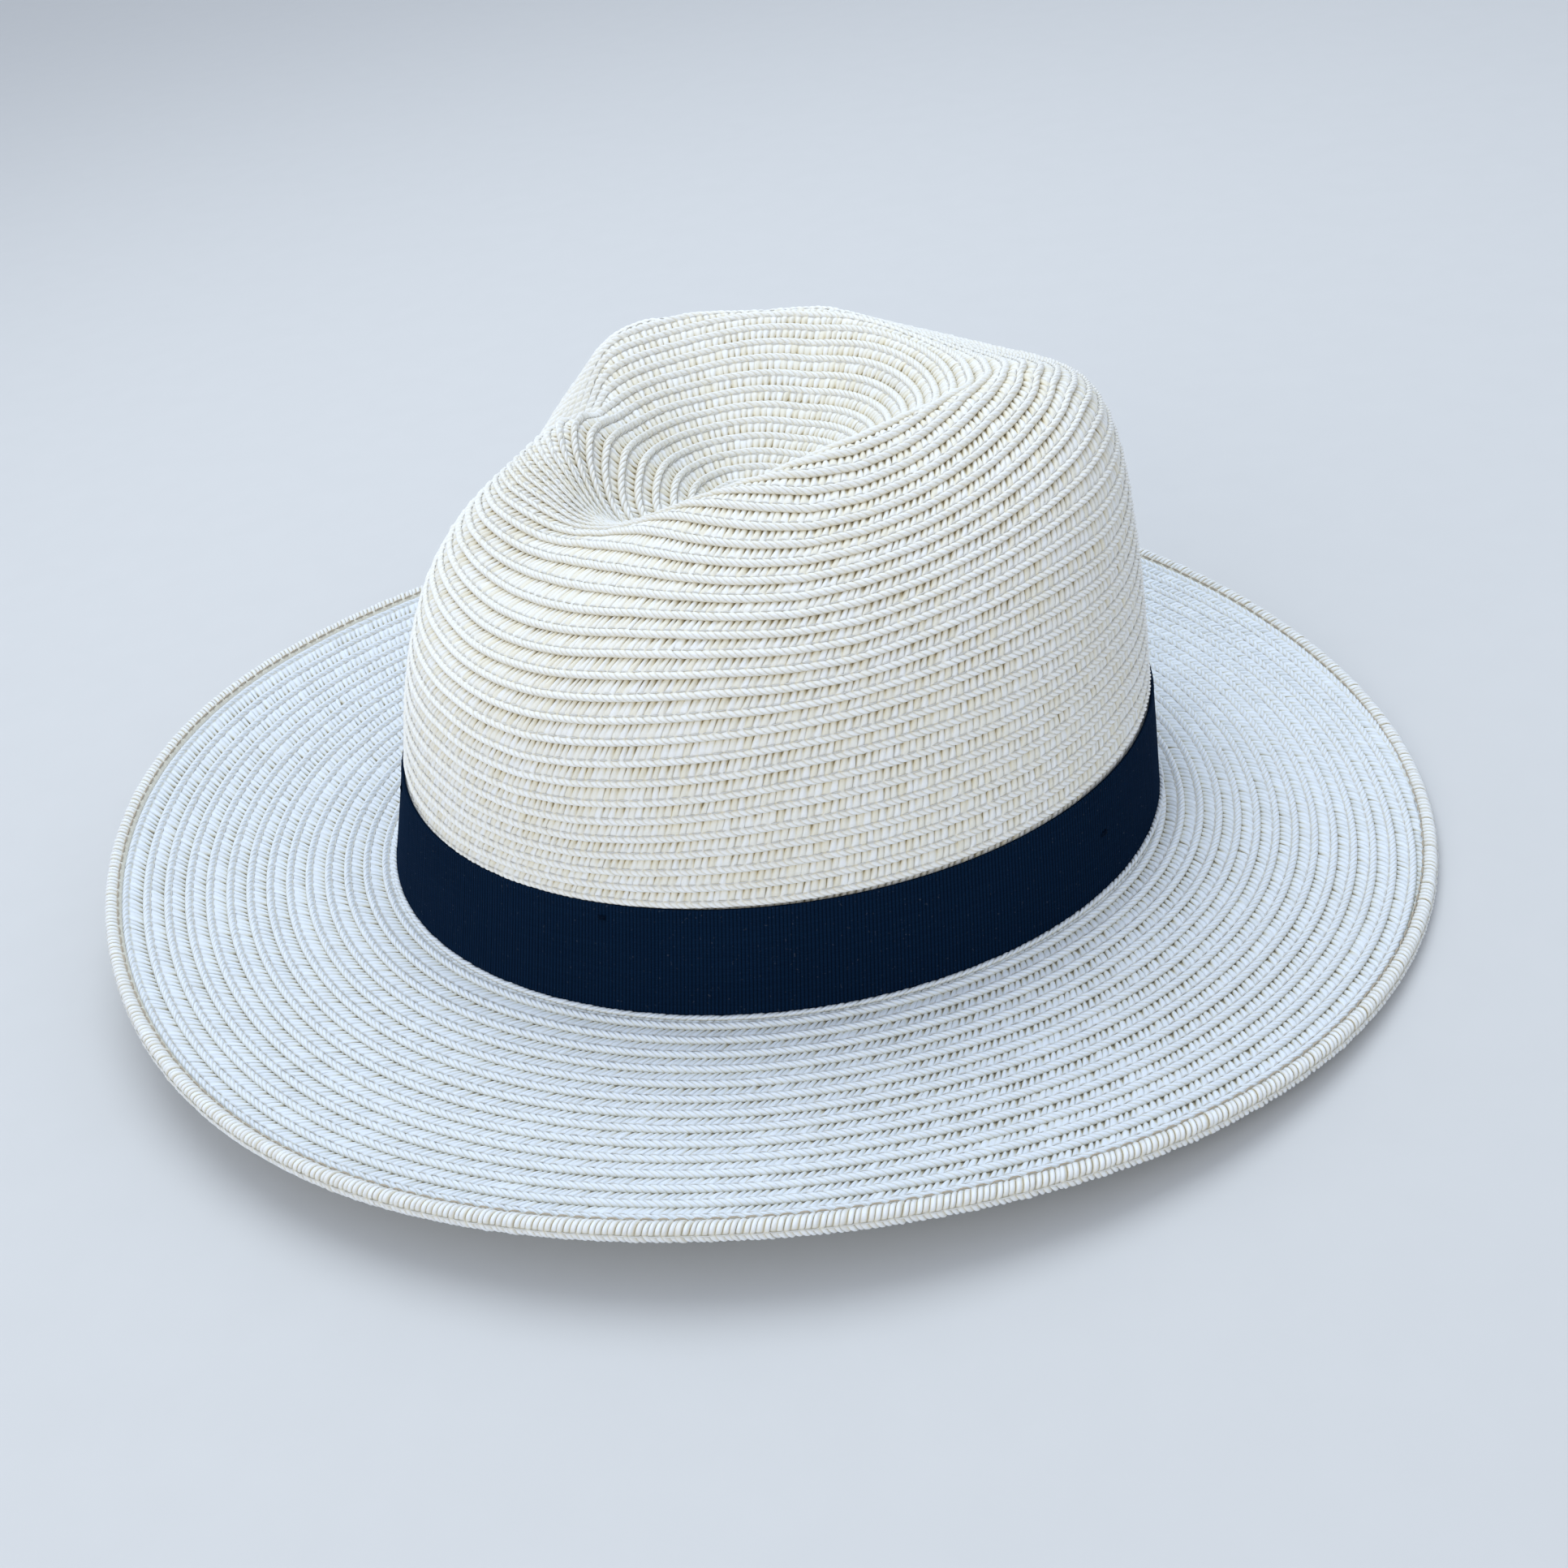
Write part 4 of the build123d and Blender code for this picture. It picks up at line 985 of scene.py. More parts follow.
es1 = stitches("brim_edge_stitching_top", *edge_line(52, 2.02), 3.2, 0.5, 0.24, M_TAN, "white_thread", seed=70)
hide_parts("brim_edge_stitching")
stitches("brim_edge_stitching_outer", *edge_line(174, 2.36), 3.2, 0.5, 0.17, M_THREAD, "white_thread", seed=71)
es3 = stitches("brim_edge_stitching_under", *edge_line(-52, 2.35), 3.2, 0.5, 0.26, M_THREAD, "white_thread", seed=72)
_p = wall(0.45, -(SHELL * 1.08 + 0.5), THR)
_n = -wall(0.45, 1.0, THR) + wall(0.45, 0.0, THR)
sm = stitches("crown_brim_seam_stitches", _p, _n, 3.0, 0.5, 0.30, M_THREAD, "white_thread", arch=0.12, seed=73)
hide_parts("crown_brim_seam_thread")

# =====================================================================
# ribbon: ribbed grosgrain woven round the crown
# =====================================================================
def grosgrain_material(name, uvname="weave"):
    m, nt, b = new_mat(name)
    uv = uvs(nt, uvname)
    cavity_shade = attr(nt, "cavity_shade").outputs["Fac"]
    sep = nt.nodes.new("ShaderNodeSeparateXYZ")
    nt.links.new(uv, sep.inputs[0])
    # uv: x = distance along the ribbon in ribs, y = height in mm
    thread = maths(nt, "SINE", maths(nt, "MULTIPLY", sep.outputs[1], TAU / 0.34))
    par = maths(nt, "SINE", maths(nt, "MULTIPLY_ADD", sep.outputs[0], math.pi, maths(nt, "MULTIPLY", sep.outputs[1], TAU / 0.68)))
    fuzz = noise(nt, coords(nt), 900.0, 2.0)
    big = noise(nt, coords(nt), 35.0, 3.0)
    lines = noise(nt, mapping(nt, uv, (0.02, 1.6, 1.0)), 1.0, 2.0)
    c = mix_col(nt, maths(nt, "MULTIPLY_ADD", thread, 0.30, 0.45, clamp=True), (0.0016, 0.0068, 0.020), (0.0050, 0.0200, 0.052))
    c = mix_col(nt, maths(nt, "MULTIPLY_ADD", big, 1.2, -0.45, clamp=True), c, (0.0026, 0.0105, 0.028))
    c = mix_col(nt, maths(nt, "MULTIPLY_ADD", lines, 1.4, -0.62, clamp=True), c, (0.0050, 0.0185, 0.046))
    dust = maths(nt, "MULTIPLY_ADD", noise(nt, coords(nt), 1500.0, 0.0), 9.0, -6.75, clamp=True)
    c = mix_col(nt, maths(nt, "MULTIPLY", dust, 0.12), c, (0.20, 0.22, 0.25))
    # painted shade: the cavity attribute darkens the rib troughs and the hidden inner face towards black
    c = mix_col(nt, maths(nt, "MULTIPLY", cavity_shade, 1.5, clamp=True), c, (0.0004, 0.0012, 0.0035))
    nt.links.new(c, b.inputs["Base Color"])
    nt.links.new(maths(nt, "MULTIPLY_ADD", fuzz, 0.2, 0.72), b.inputs["Roughness"])
    b.inputs["Sheen Weight"].default_value = 0.0
    b.inputs["Sheen Roughness"].default_value = 0.35
    b.inputs["Sheen Tint"].default_value = (0.10, 0.22, 0.55, 1)
    b.inputs["Specular IOR Level"].default_value = 0.06
    b.inputs["IOR"].default_value = 1.25
    h = maths(nt, "ADD", maths(nt, "MULTIPLY", thread, 0.5), maths(nt, "MULTIPLY", par, 0.5))
    bump_node(nt, b, h, 0.6, 0.00006)
    return m


M_NAVY = grosgrain_material("navy_grosgrain")


def wob(th, seed, amp, k=(2, 3, 5, 7)):
    r = np.random.default_rng(seed)
    return sum(amp * r.normal() / (i ** 0.7) * np.cos(i * th + r.random() * TAU) for i in k)


def ribbon():
    circ = np.linalg.norm(np.diff(wall(15.0, 1.0, THR), axis=0), axis=1).sum()
    nrib = int(round(circ / 0.92))
    nc = 4
    n = nrib * nc
    s = np.arange(n) / n
    seg = np.r_[0, np.cumsum(np.linalg.norm(np.diff(wall(15.0, 1.0, THR), axis=0), axis=1))]
    th = np.interp(s * seg[-1], seg, THR)
    prof = np.tile([-1.0, 0.25, 1.0, 0.25], nrib)
    lv = [0.12, 0.45, 0.9, 1.6] + list(np.linspace(3.0, 28.6, 15)) + [29.6, 30.3, 30.75, 31.05]
    r = np.random.default_rng(9)
    rows, cavity_shade = [], []
    ribh = np.repeat(r.normal(0, 0.02, nrib), nc)
    for z in lv:
        edge = min(z - 0.1, 31.1 - z)
        sel = 0.10 * math.exp(-((edge - 0.7) / 0.6) ** 2)
        amp = 0.085 * min(1.0, 0.35 + edge)
        o = 0.98 + sel + amp * prof + ribh + 0.10 * np.sin(np.pi * z / 31.0) + 0.25 * wob(th, 12, 0.18) * math.sin(math.pi * z / 31.0)
        if edge < 0.2:
            o = o - 0.18
        zz = z + (0.05 * prof if edge < 0.2 else 0.0) + (0.10 * wob(th, 14, 0.6) if z > 15 else 0)
        rows.append(wall(zz, o, th))
        # painted shade in the troughs between the ribs
        cavity_shade.append(np.clip((-prof) * 0.55, 0, 1) + 0 * th)
    # the inner face behind the ribbon gets a flat painted shade
    for z in (31.0, 22.0, 11.0, 0.15):
        rows.append(wall(z, 0.22 + 0 * th, th))
        cavity_shade.append(0.4 + 0 * th)
    V = np.stack(rows, 1)
    nr = V.shape[1]
    q, I, J = grid_faces(n, nr, True, True)
    verts = V.reshape(-1, 3)
    q0 = q
    q = orient(verts, q)
    zl = np.array(lv + [31.4, 22.0, 11.0, 0.0, -0.3])
    uvg = face_uv(I, J, np.arange(n + 1) / nc, zl)
    uvo = folded_uv(I, J, n, nr, target=1.0)
    if q is not q0:
        uvo, uvg = uvo[:, ::-1], uvg[:, ::-1]
    ob = build("hatband_ribbon_woven", verts, q, M_NAVY, "hat", {"cavity_shade": np.stack(cavity_shade, 1).ravel()},
               {"weave": uvg, "OFBake": uvo})
    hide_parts("hatband_ribbon")
    return ob


ribbon()


def keeper():
    """short piece of the same ribbon wrapped over the join, its ribs lying level"""
    x = np.linspace(-6.0, 14.0, 27)
    fine = np.linspace(np.pi, TAU, 2001)
    nz = 34 * 4
    z = np.linspace(0.2, 31.5, nz)
    prof = np.tile([-1.0, 0.25, 1.0, 0.25], 34)
    sheets = []
    for side in (1, 0):
        S = np.empty((len(x), nz, 3))
        for j, zz in enumerate(z):
            edge = min(zz, 31.6 - zz)
            bow = 0.22 * (1 - math.exp(-edge / 1.4))
            base = wall(zz, 1.15, fine)
            xs = np.interp(x, base[:, 0], np.arange(len(fine)))
            th = np.interp(xs, np.arange(len(fine)), fine)
            xe = np.minimum(x + 6.0, 14.0 - x)
            roll = 0.16 * np.exp(-((xe - 0.6) / 0.7) ** 2)
            off = 1.14 + 0.45 * 0 if side == 0 else 1.70 + bow * 0.6 + 0.08 * prof[j] + roll
            S[:, j] = wall(zz, off + 0 * x, th)
        sheets.append(S)
    top, bot = sheets
    n, m = top.shape[:2]
    V = np.concatenate([top, bot[:, ::-1]], 1)              # loop in z, open in x
    q, I, J = grid_faces(n, 2 * m, False, True)
    verts = V.reshape(-1, 3)
    # caps at both sides: quads between the outer and the inner sheet
    caps = []
    for e in (0, n - 1):
        o = e * 2 * m
        a = np.arange(m - 1)
        f = np.stack([o + a, o + a + 1, o + 2 * m - 2 - a, o + 2 * m - 1 - a], -1)
        caps.append(f if e == 0 else f[:, ::-1])
    allq = np.vstack([q] + caps)
    flip = orient(verts, q) is not q
    uvg = face_uv(I, J, np.arange(n) * 0.77, np.arange(2 * m + 1) * 0.23)
    uvg = uvg[..., ::-1] * np.array([1 / 0.92, 1.0])
    uvo = face_uv(I, J, 0.02 + 0.96 * np.arange(n) / (n - 1), 0.02 + 0.96 * np.arange(2 * m + 1) / (2 * m))
    pad = np.zeros((2 * (m - 1), 4, 2)) + np.array([[0, 0], [.002, 0], [.002, .002], [0, .002]])
    uvg = np.concatenate([uvg, pad]); uvo = np.concatenate([uvo, pad])
    if flip:
        allq, uvg, uvo = allq[:, ::-1], uvg[:, ::-1], uvo[:, ::-1]
    # painted shade in the rib troughs and on the inner sheet
    cavity_shade = np.tile(np.r_[np.clip(-prof * 0.55, 0, 1), np.full(m, 0.3)], n)
    ob = build("hatband_keeper_woven", verts, allq, M_NAVY, "hat", {"cavity_shade": cavity_shade},
               {"weave": uvg, "OFBake": uvo})
    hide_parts("hatband_keeper")


keeper()

# =====================================================================
# small threads, sweatband, eyelets, cord and label
# =====================================================================
def tube(path, radius, sides=12, braid=0.0, braid_pitch=2.2, close=False, up=(0, 0, 1.0), end_round=True):
    """round cord along a path in mm, optionally with a braided surface; returns verts, quads, I, J, the ring count,
    the side count and the arc lengths
    """
    path = np.asarray(path, float)
    t = np.gradient(path, axis=0)
    if close:
        t = (np.roll(path, -1, axis=0) - np.roll(path, 1, axis=0))
    t /= np.linalg.norm(t, axis=1, keepdims=True)
    n = len(path)
    u = np.empty_like(t)
    v0 = np.array(up, float)
    if abs(t[0] @ v0) > 0.9:
        v0 = np.array([1.0, 0.3, 0])
    cur = v0 - (v0 @ t[0]) * t[0]
    for i in range(n):
        cur = cur - (cur @ t[i]) * t[i]
        cur /= np.linalg.norm(cur)
        u[i] = cur
    w = np.cross(t, u)
    s = np.r_[0, np.cumsum(np.linalg.norm(np.diff(path, axis=0), axis=1))]
    a = np.linspace(0, TAU, sides, endpoint=False)
    rad = np.broadcast_to(np.asarray(radius, float), (n,)).copy()
    if end_round and not close:
        e = np.minimum(s, s[-1] - s)
        rad *= np.sqrt(np.clip(1 - (1 - np.clip(e / rad, 0.02, 1)) ** 2, 0.03, 1))
    A, S = np.meshgrid(a, s)
    pat = np.abs(np.sin(2 * A + TAU * S / braid_pitch)) * 0.5 + np.abs(np.sin(2 * A - TAU * S / braid_pitch)) * 0.5
    R = rad[:, None] * (1 + braid * (pat - 0.6))
    V = path[:, None] + R[..., None] * (np.cos(A)[..., None] * u[:, None] + np.sin(A)[..., None] * w[:, None])
    q, I, J = grid_faces(n, sides, close, True)
    return V.reshape(-1, 3), q, I, J, n, sides, s


def tube_object(name, paths, radius, mat, slot, body="hat", **kw):
    vs, qs, ts, g, o, base = [], [], [], [], [], 0
    for k, p in enumerate(paths):
        V, q, I, J, n, m, s = tube(p, radius[k] if isinstance(radius, (list, tuple)) else radius, **kw)
        uvg = face_uv(I, J, np.r_[s, s[-1] + 1.0], np.arange(m + 1) * 0.5)
        du = 0.98 / len(paths)
        uvo = face_uv(I, J, 0.01 + 0.98 * np.arange(n + 1) / n, 0.01 + k * du + du * 0.96 * np.arange(m + 1) / m)
        flip = orient(V, q) is not q
        tri = np.zeros((0, 3), int)
        if not kw.get("close"):
            fans = []
            for e in (0, n - 1):
                f = [[e * m, e * m + j, e * m + j + 1] for j in range(1, m - 1)]
                f = np.array(f)
                fans.append(f[:, ::-1] if e == 0 else f)
            tri = np.vstack(fans)
            # the edge and cap picked here are not used; the caps keep the winding set above and flip with the side
            # faces
            a, b = q[0][0], q[0][3]
            edge_dir = (a, b)
            c = fans[0][0]
        if flip:
            q, uvg, uvo, tri = q[:, ::-1], uvg[:, ::-1], uvo[:, ::-1], tri[:, ::-1]
        vs.append(V); qs.append(q + base); ts.append(tri + base); g.append(uvg); o.append(uvo)
        base += len(V)
    return build_mixed(name, np.vstack(vs), np.vstack(qs), np.vstack(ts), mat, {},
                       {"strand": np.concatenate(g), "OFBake": np.concatenate(o)}, body)


FINE = np.linspace(0, TAU, 721)[:-1]


def wall_frame(deg, z, off):
    th = np.radians(np.array([deg - 0.5, deg, deg + 0.5]))
    p = wall(z, off, th)
    t = p[2] - p[0]
    t /= np.linalg.norm(t)
    return p[1], t, np.array([t[1], -t[0], 0.0])


paths = []
for deg in (20.0, 75.0, 151.0, 205.0, 255.0, 315.0):
    p, t, n = wall_frame(deg, 27.5 if deg != 151.0 else 17.0, BAND_T + 0.15)
    for k, dz in enumerate((-0.42, 0.0, 0.40)):
        u = np.linspace(-1, 1, 9)
        bow = 0.34 * (1 - u ** 4) - 0.05
        paths.append(p + (u * 1.15 + 0.12 * dz)[:, None] * t + bow[:, None] * n
                     + (dz * (1 + 0.15 * u))[:, None] * np.array([0, 0, 1.0]))
tk = tube_object("hatband_tack_threads", paths, 0.21, M_NAVYT, "navy_thread", sides=7, end_round=True)
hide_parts("hatband_tack_stitches")

# the starting curl of the plait at the crown tip, closed by a few turns of thread on both faces
_ring = CROWN.P(np.full(12, N_CROWN - 1.2), np.arange(12) * TAU / 12).astype(float)
_tip = CROWN.P(np.array([N_CROWN - 0.002]), np.zeros(1))[0].astype(float)
_tn = CROWN.N(np.full(12, N_CROWN - 1.2), np.arange(12) * TAU / 12).astype(float).mean(0)
_tn /= np.linalg.norm(_tn)
_t1 = np.cross(_tn, [0, 1.0, 0]); _t1 /= np.linalg.norm(_t1)
_t2 = np.cross(_tn, _t1)
_u = np.linspace(0, 1, 90)
curls = []
for depth, rmax in ((-0.35, 1.3), (-1.62, 2.1)):
    a = TAU * (rmax / 0.56) * _u
    rr = 0.12 + rmax * _u
    curls.append(_tip + rr[:, None] * (np.cos(a)[:, None] * _t1 + np.sin(a)[:, None] * _t2) + depth * _tn)
tube_object("crown_tip_curl", curls, 0.36, M_THREAD, "white_thread", sides=8, end_round=True)


def cloth_material(name, c1, c2, scale=0.42, uvname="weave", rough=0.75):
    m, nt, b = new_mat(name)
    uv = uvs(nt, uvname)
    sep = nt.nodes.new("ShaderNodeSeparateXYZ")
    nt.links.new(uv, sep.inputs[0])
    k = TAU / scale
    a = maths(nt, "SINE", maths(nt, "MULTIPLY", sep.outputs[0], k))
    bb = maths(nt, "SINE", maths(nt, "MULTIPLY", sep.outputs[1], k))
    w = maths(nt, "MULTIPLY", a, bb)
    twill = maths(nt, "SINE", maths(nt, "ADD", maths(nt, "MULTIPLY", sep.outputs[0], k * 0.7), maths(nt, "MULTIPLY", sep.outputs[1], k * 0.7)))
    mixw = maths(nt, "ADD", maths(nt, "MULTIPLY", w, 0.5), maths(nt, "MULTIPLY", twill, 0.5))
    big = noise(nt, coords(nt), 30.0, 4.0)
    fib = noise(nt, mapping(nt, uv, (6.0, 0.8, 1.0)), 1.0, 3.0)
    c = mix_col(nt, maths(nt, "MULTIPLY_ADD", mixw, 0.35, 0.55, clamp=True), c2, c1)
    c = mix_col(nt, maths(nt, "MULTIPLY_ADD", big, 1.5, -0.65, clamp=True), c, tuple(0.86 * x for x in c1))
    c = mix_col(nt, maths(nt, "MULTIPLY_ADD", fib, 0.9, -0.35, clamp=True), c, c2)
    nt.links.new(c, b.inputs["Base Color"])
    nt.links.new(maths(nt, "MULTIPLY_ADD", fib, 0.2, rough - 0.1), b.inputs["Roughness"])
    b.inputs["Sheen Weight"].default_value = 0.3
    bump_node(nt, b, mixw, 0.7, 0.00010)
    return m


M_SWEAT = cloth_material("sweatband_cloth", (0.74, 0.72, 0.67), (0.52, 0.50, 0.45))
M_LABEL = cloth_material("label_satin", (0.86, 0.86, 0.85), (0.74, 0.74, 0.74), scale=0.22, rough=0.38)
M_CORD = thread_material("drawcord_cotton", (0.80, 0.775, 0.71), (0.50, 0.46, 0.38), 0.4)


def metal_material(name, col, rough, worn):
    m, nt, b = new_mat(name)
    n1 = noise(nt, coords(nt), 900.0, 3.0, 0.6)
    n2 = noise(nt, coords(nt), 160.0, 3.0, 0.6)
    c = mix_col(nt, maths(nt, "MULTIPLY_ADD", n2, 1.8, -0.7, clamp=True), col, worn)
    nt.links.new(c, b.inputs["Base Color"])
    b.inputs["Metallic"].default_value = 1.0
    nt.links.new(maths(nt, "MULTIPLY_ADD", n1, 0.30, rough - 0.1), b.inputs["Roughness"])
    bump_node(nt, b, n1, 0.25, 0.00004)
    return m


M_EYE = metal_material("eyelet_metal", (0.72, 0.58, 0.30), 0.32, (0.48, 0.36, 0.20))
M_WIRE = metal_material("brim_wire", (0.56, 0.56, 0.57), 0.40, (0.36, 0.35, 0.34))
M_SLEEVE = metal_material("wire_sleeve", (0.72, 0.72, 0.73), 0.38, (0.50, 0.50, 0.51))
for nd, mt in (("brim_edge_wire", M_WIRE), ("brim_wire_sleeve", M_SLEEVE)):
    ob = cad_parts[nd]
    for sl in ob.material_slots:
        sl.material = mt


def sweatband():
    n = 1080
    th = np.linspace(0, TAU, n, endpoint=False)
    inner = [(S0 - 0.45, 31.0), (S0 - SWEAT_T + 0.02, 30.7), (S0 - SWEAT_T, 29.5), (S0 - SWEAT_T, 27.0), (S0 - SWEAT_T, 24.0),
             (S0 - SWEAT_T, 21.0), (S0 - SWEAT_T, 18.5), (S0 - SWEAT_T - 0.02, 16.6), (S0 - SWEAT_T - 0.10, 15.0),
             (S0 - SWEAT_T - 0.10, 13.4), (S0 - 1.6, 12.3), (S0 - 2.6, 11.3), (S0 - 3.5, 10.3), (S0 - 3.95, 8.9),
             (S0 - 4.05, 7.2), (S0 - 4.0, 5.4), (S0 - 3.85, 3.9), (S0 - 3.4, 2.6), (S0 - 2.6, 1.6), (S0 - 1.6, 1.15), (S0 - 0.4, 1.0)]
    outer = [(S0, 1.4), (S0, 8.0), (S0, 16.0), (S0, 24.0), (S0, 30.6)]
    rows, zs = [], []
    puck = wob(th, 31, 0.5, (61, 83, 97, 119, 140)) * 0.35
    wave = wob(th, 33, 0.5, (3, 5, 8, 11)) * 0.3
    d = 0.0
    prev = None
    for o, z in inner:
        hem = math.exp(-((z - 14.5) / 3.0) ** 2)
        off = o - 0.10 * puck * hem - 0.12 * wave * (z > 16) * min(1, (z - 16) / 8)
        if 5.0 < z < 13.5:
            off = off - 0.10 * puck
        rows.append(wall(z + 0.12 * puck * hem, off, th))
        if prev is not None:
            d += math.hypot(o - prev[0], z - prev[1])
        zs.append(d)
        prev = (o, z)
    for o, z in outer:
        rows.append(wall(z, o + 0 * th, th))
        d += math.hypot(o - prev[0], z - prev[1]); prev = (o, z)
        zs.append(d)
    V = np.stack(rows, 1)
    nr = V.shape[1]
    q, I, J = grid_faces(n, nr, True, True)
    verts = V.reshape(-1, 3)
    flip = orient(verts, q) is not q
    uvg = face_uv(I, J, np.arange(n + 1) * 560.0 / n, np.array(zs + [d + 0.6]))
    uvo = folded_uv(I, J, n, nr, target=0.6)
    if flip:
        q, uvg, uvo = q[:, ::-1], uvg[:, ::-1], uvo[:, ::-1]
    ob = build("sweatband_tape", verts, q, M_SWEAT, "hat", {}, {"weave": uvg, "OFBake": uvo})
    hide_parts("sweatband")


sweatband()
_p = wall(15.0, S0 - SWEAT_T - 0.36, THR)
_n = wall(15.0, 0.0, THR) - wall(15.0, 1.0, THR)
ss = stitches("sweatband_hem_stitches", _p, _n, 2.7, 0.6, 0.28, M_THREAD, "white_thread", arch=0.12, sink=0.45, sides=7, rings=7, seed=81)
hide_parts("sweatband_stitching")

S_FACE = S0 - 4.0
eye_pts = []
for sgn in (1, -1):
    o = wall(EYE_Z, S_FACE, FINE)
    k = int(np.argmin(np.abs(o[:, 1] - sgn * EYE_Y) + 1e3 * (o[:, 0] > 0)))
    p, t, n = wall_frame(k * 0.5, EYE_Z, S_FACE)
    eye_pts.append((p, -n, t, k * 0.5))


def lathe(name, spots, prof, mat, sides=40, body="hat"):
    vs, qs, uo, base = [], [], [], 0
    m = len(prof)
    for k, (p, ax, t) in enumerate(spots):
        u = t / np.linalg.norm(t)
        w = np.cross(ax, u)
        a = np.linspace(0, TAU, sides, endpoint=False)
        V = np.empty((sides, m, 3))
        for j, (r, z) in enumerate(prof):
            V[:, j] = p + z * ax + r * (np.cos(a)[:, None] * u + np.sin(a)[:, None] * w)
        q, I, J = grid_faces(sides, m, True, True)
        V = V.reshape(-1, 3)
        uvo = face_uv(I, J, 0.01 + 0.98 * np.arange(sides + 1) / sides,
                      (0.01 + k + 0.96 * np.arange(m + 1) / m) / (len(spots) + 0.02))
        if orient(V, q) is not q:
            q, uvo = q[:, ::-1], uvo[:, ::-1]
        vs.append(V); qs.append(q + base); uo.append(uvo); base += len(V)
    uv = np.concatenate(uo)
    return build(name, np.vstack(vs), np.vstack(qs), mat, body, {}, {"OFBake": uv})


ang = np.linspace(np.radians(-60), np.radians(240), 13)
prof = [(1.22, -0.55), (1.22, 0.0), (1.25, 0.30)]
prof += [(1.95 - 0.62 * math.cos(a) * 1.1, 0.22 + 0.34 * math.sin(a) + 0.10) for a in np.linspace(np.radians(20), np.radians(165), 9)]
prof += [(2.68, 0.16), (2.66, 0.06), (1.75, 0.05), (1.72, -0.55)]
ey = lathe("sweatband_eyelet_rings", [(p, ax, t) for p, ax, t, _ in eye_pts], prof, M_EYE)
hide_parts("sweatband_eyelets")

# drawcord in the channel with its two ends brought out
d1, d2 = eye_pts[0][3], eye_pts[1][3] - 360.0
an = np.radians(np.linspace(d1, d2, 1200))
ring = wall(EYE_Z, S0 - 2.0, an)
e1 = eye_pts[0][0] + np.linspace(1.05, -2.0, 8)[:, None] * eye_pts[0][1]
e2 = eye_pts[1][0] + np.linspace(-2.0, 1.05, 8)[:, None] * eye_pts[1][1]
cord = tube_object("size_drawcord_braided", [ring, e1, e2], 1.0, M_CORD, "drawcord_cotton", sides=12, braid=0.16, braid_pitch=2.0)
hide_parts("size_drawcord")

hx = float((eye_pts[0][0] + eye_pts[0][1] * 1.75)[0] + (eye_pts[1][0] + eye_pts[1][1] * 1.75)[0]) / 2
hz = EYE_Z


def smooth_path(pts, n=160):
    """Catmull-Rom through the points"""
    pts = np.asarray(pts, float)
    p = np.vstack([2 * pts[0] - pts[1], pts, 2 * pts[-1] - pts[-2]])
    out = []
    m = len(pts) - 1
    for i in range(m):
        a, b, c, d = p[i], p[i + 1], p[i + 2], p[i + 3]
        t = np.linspace(0, 1, max(2, n // m), endpoint=(i == m - 1))[:, None]
        out.append(0.5 * ((2 * b) + (-a + c) * t + (2 * a - 5 * b + 4 * c - d) * t ** 2 + (-a + 3 * b - 3 * c + d) * t ** 3))
    return np.vstack(out)


kx, kz = hx + 2.6, hz + 1.0
knot_paths = []
for sg, dx in ((1, 0.0), (-1, 0.55)):
    m = (eye_pts[0] if sg > 0 else eye_pts[1])
    mo = m[0] + m[1] * 1.75
    knot_paths.append(smooth_path([
        m[0] + m[1] * 1.0, mo, [kx - 1.2, sg * 8.0, kz - 0.7], [kx - 0.9 + dx, sg * 3.2, kz - 0.5],
        [kx + 0.9 - dx, sg * 0.4, kz - 1.5 + 0.5 * sg], [kx + 1.6, -sg * 2.1, kz - 0.2],
        [kx + 0.2, -sg * 1.5, kz + 1.9], [kx - 1.3 + dx, sg * 0.6, kz + 1.3],
        [kx + 0.6, sg * 2.2, kz + 2.0], [kx + 1.0, sg * 4.2, kz + 5.0], [kx + 0.8, sg * 6.0, kz + 8.8],
        [kx + 0.7, sg * 7.6, kz + 14.0], [kx + 0.5, sg * 8.5, kz + 18.4]], 260))
# small overhand knots at the tail ends
for sg in (1, -1):
    c = np.array([kx + 0.5, sg * 8.5, kz + 18.6])
    a = np.linspace(0, TAU * 1.35, 60)
    knot_paths.append(np.stack([c[0] + 1.05 * np.cos(a), c[1] + 1.05 * np.sin(a) * 1.05, c[2] - 0.5 + a / (TAU * 1.35) * 1.5], -1))
    fr = []
kn = tube_object("drawcord_knot_tied", knot_paths, [0.98, 0.98, 0.72, 0.72], M_CORD, "drawcord_cotton", body="tied_cord",
                 sides=12, braid=0.16, braid_pitch=2.0)
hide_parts("drawcord_knot")


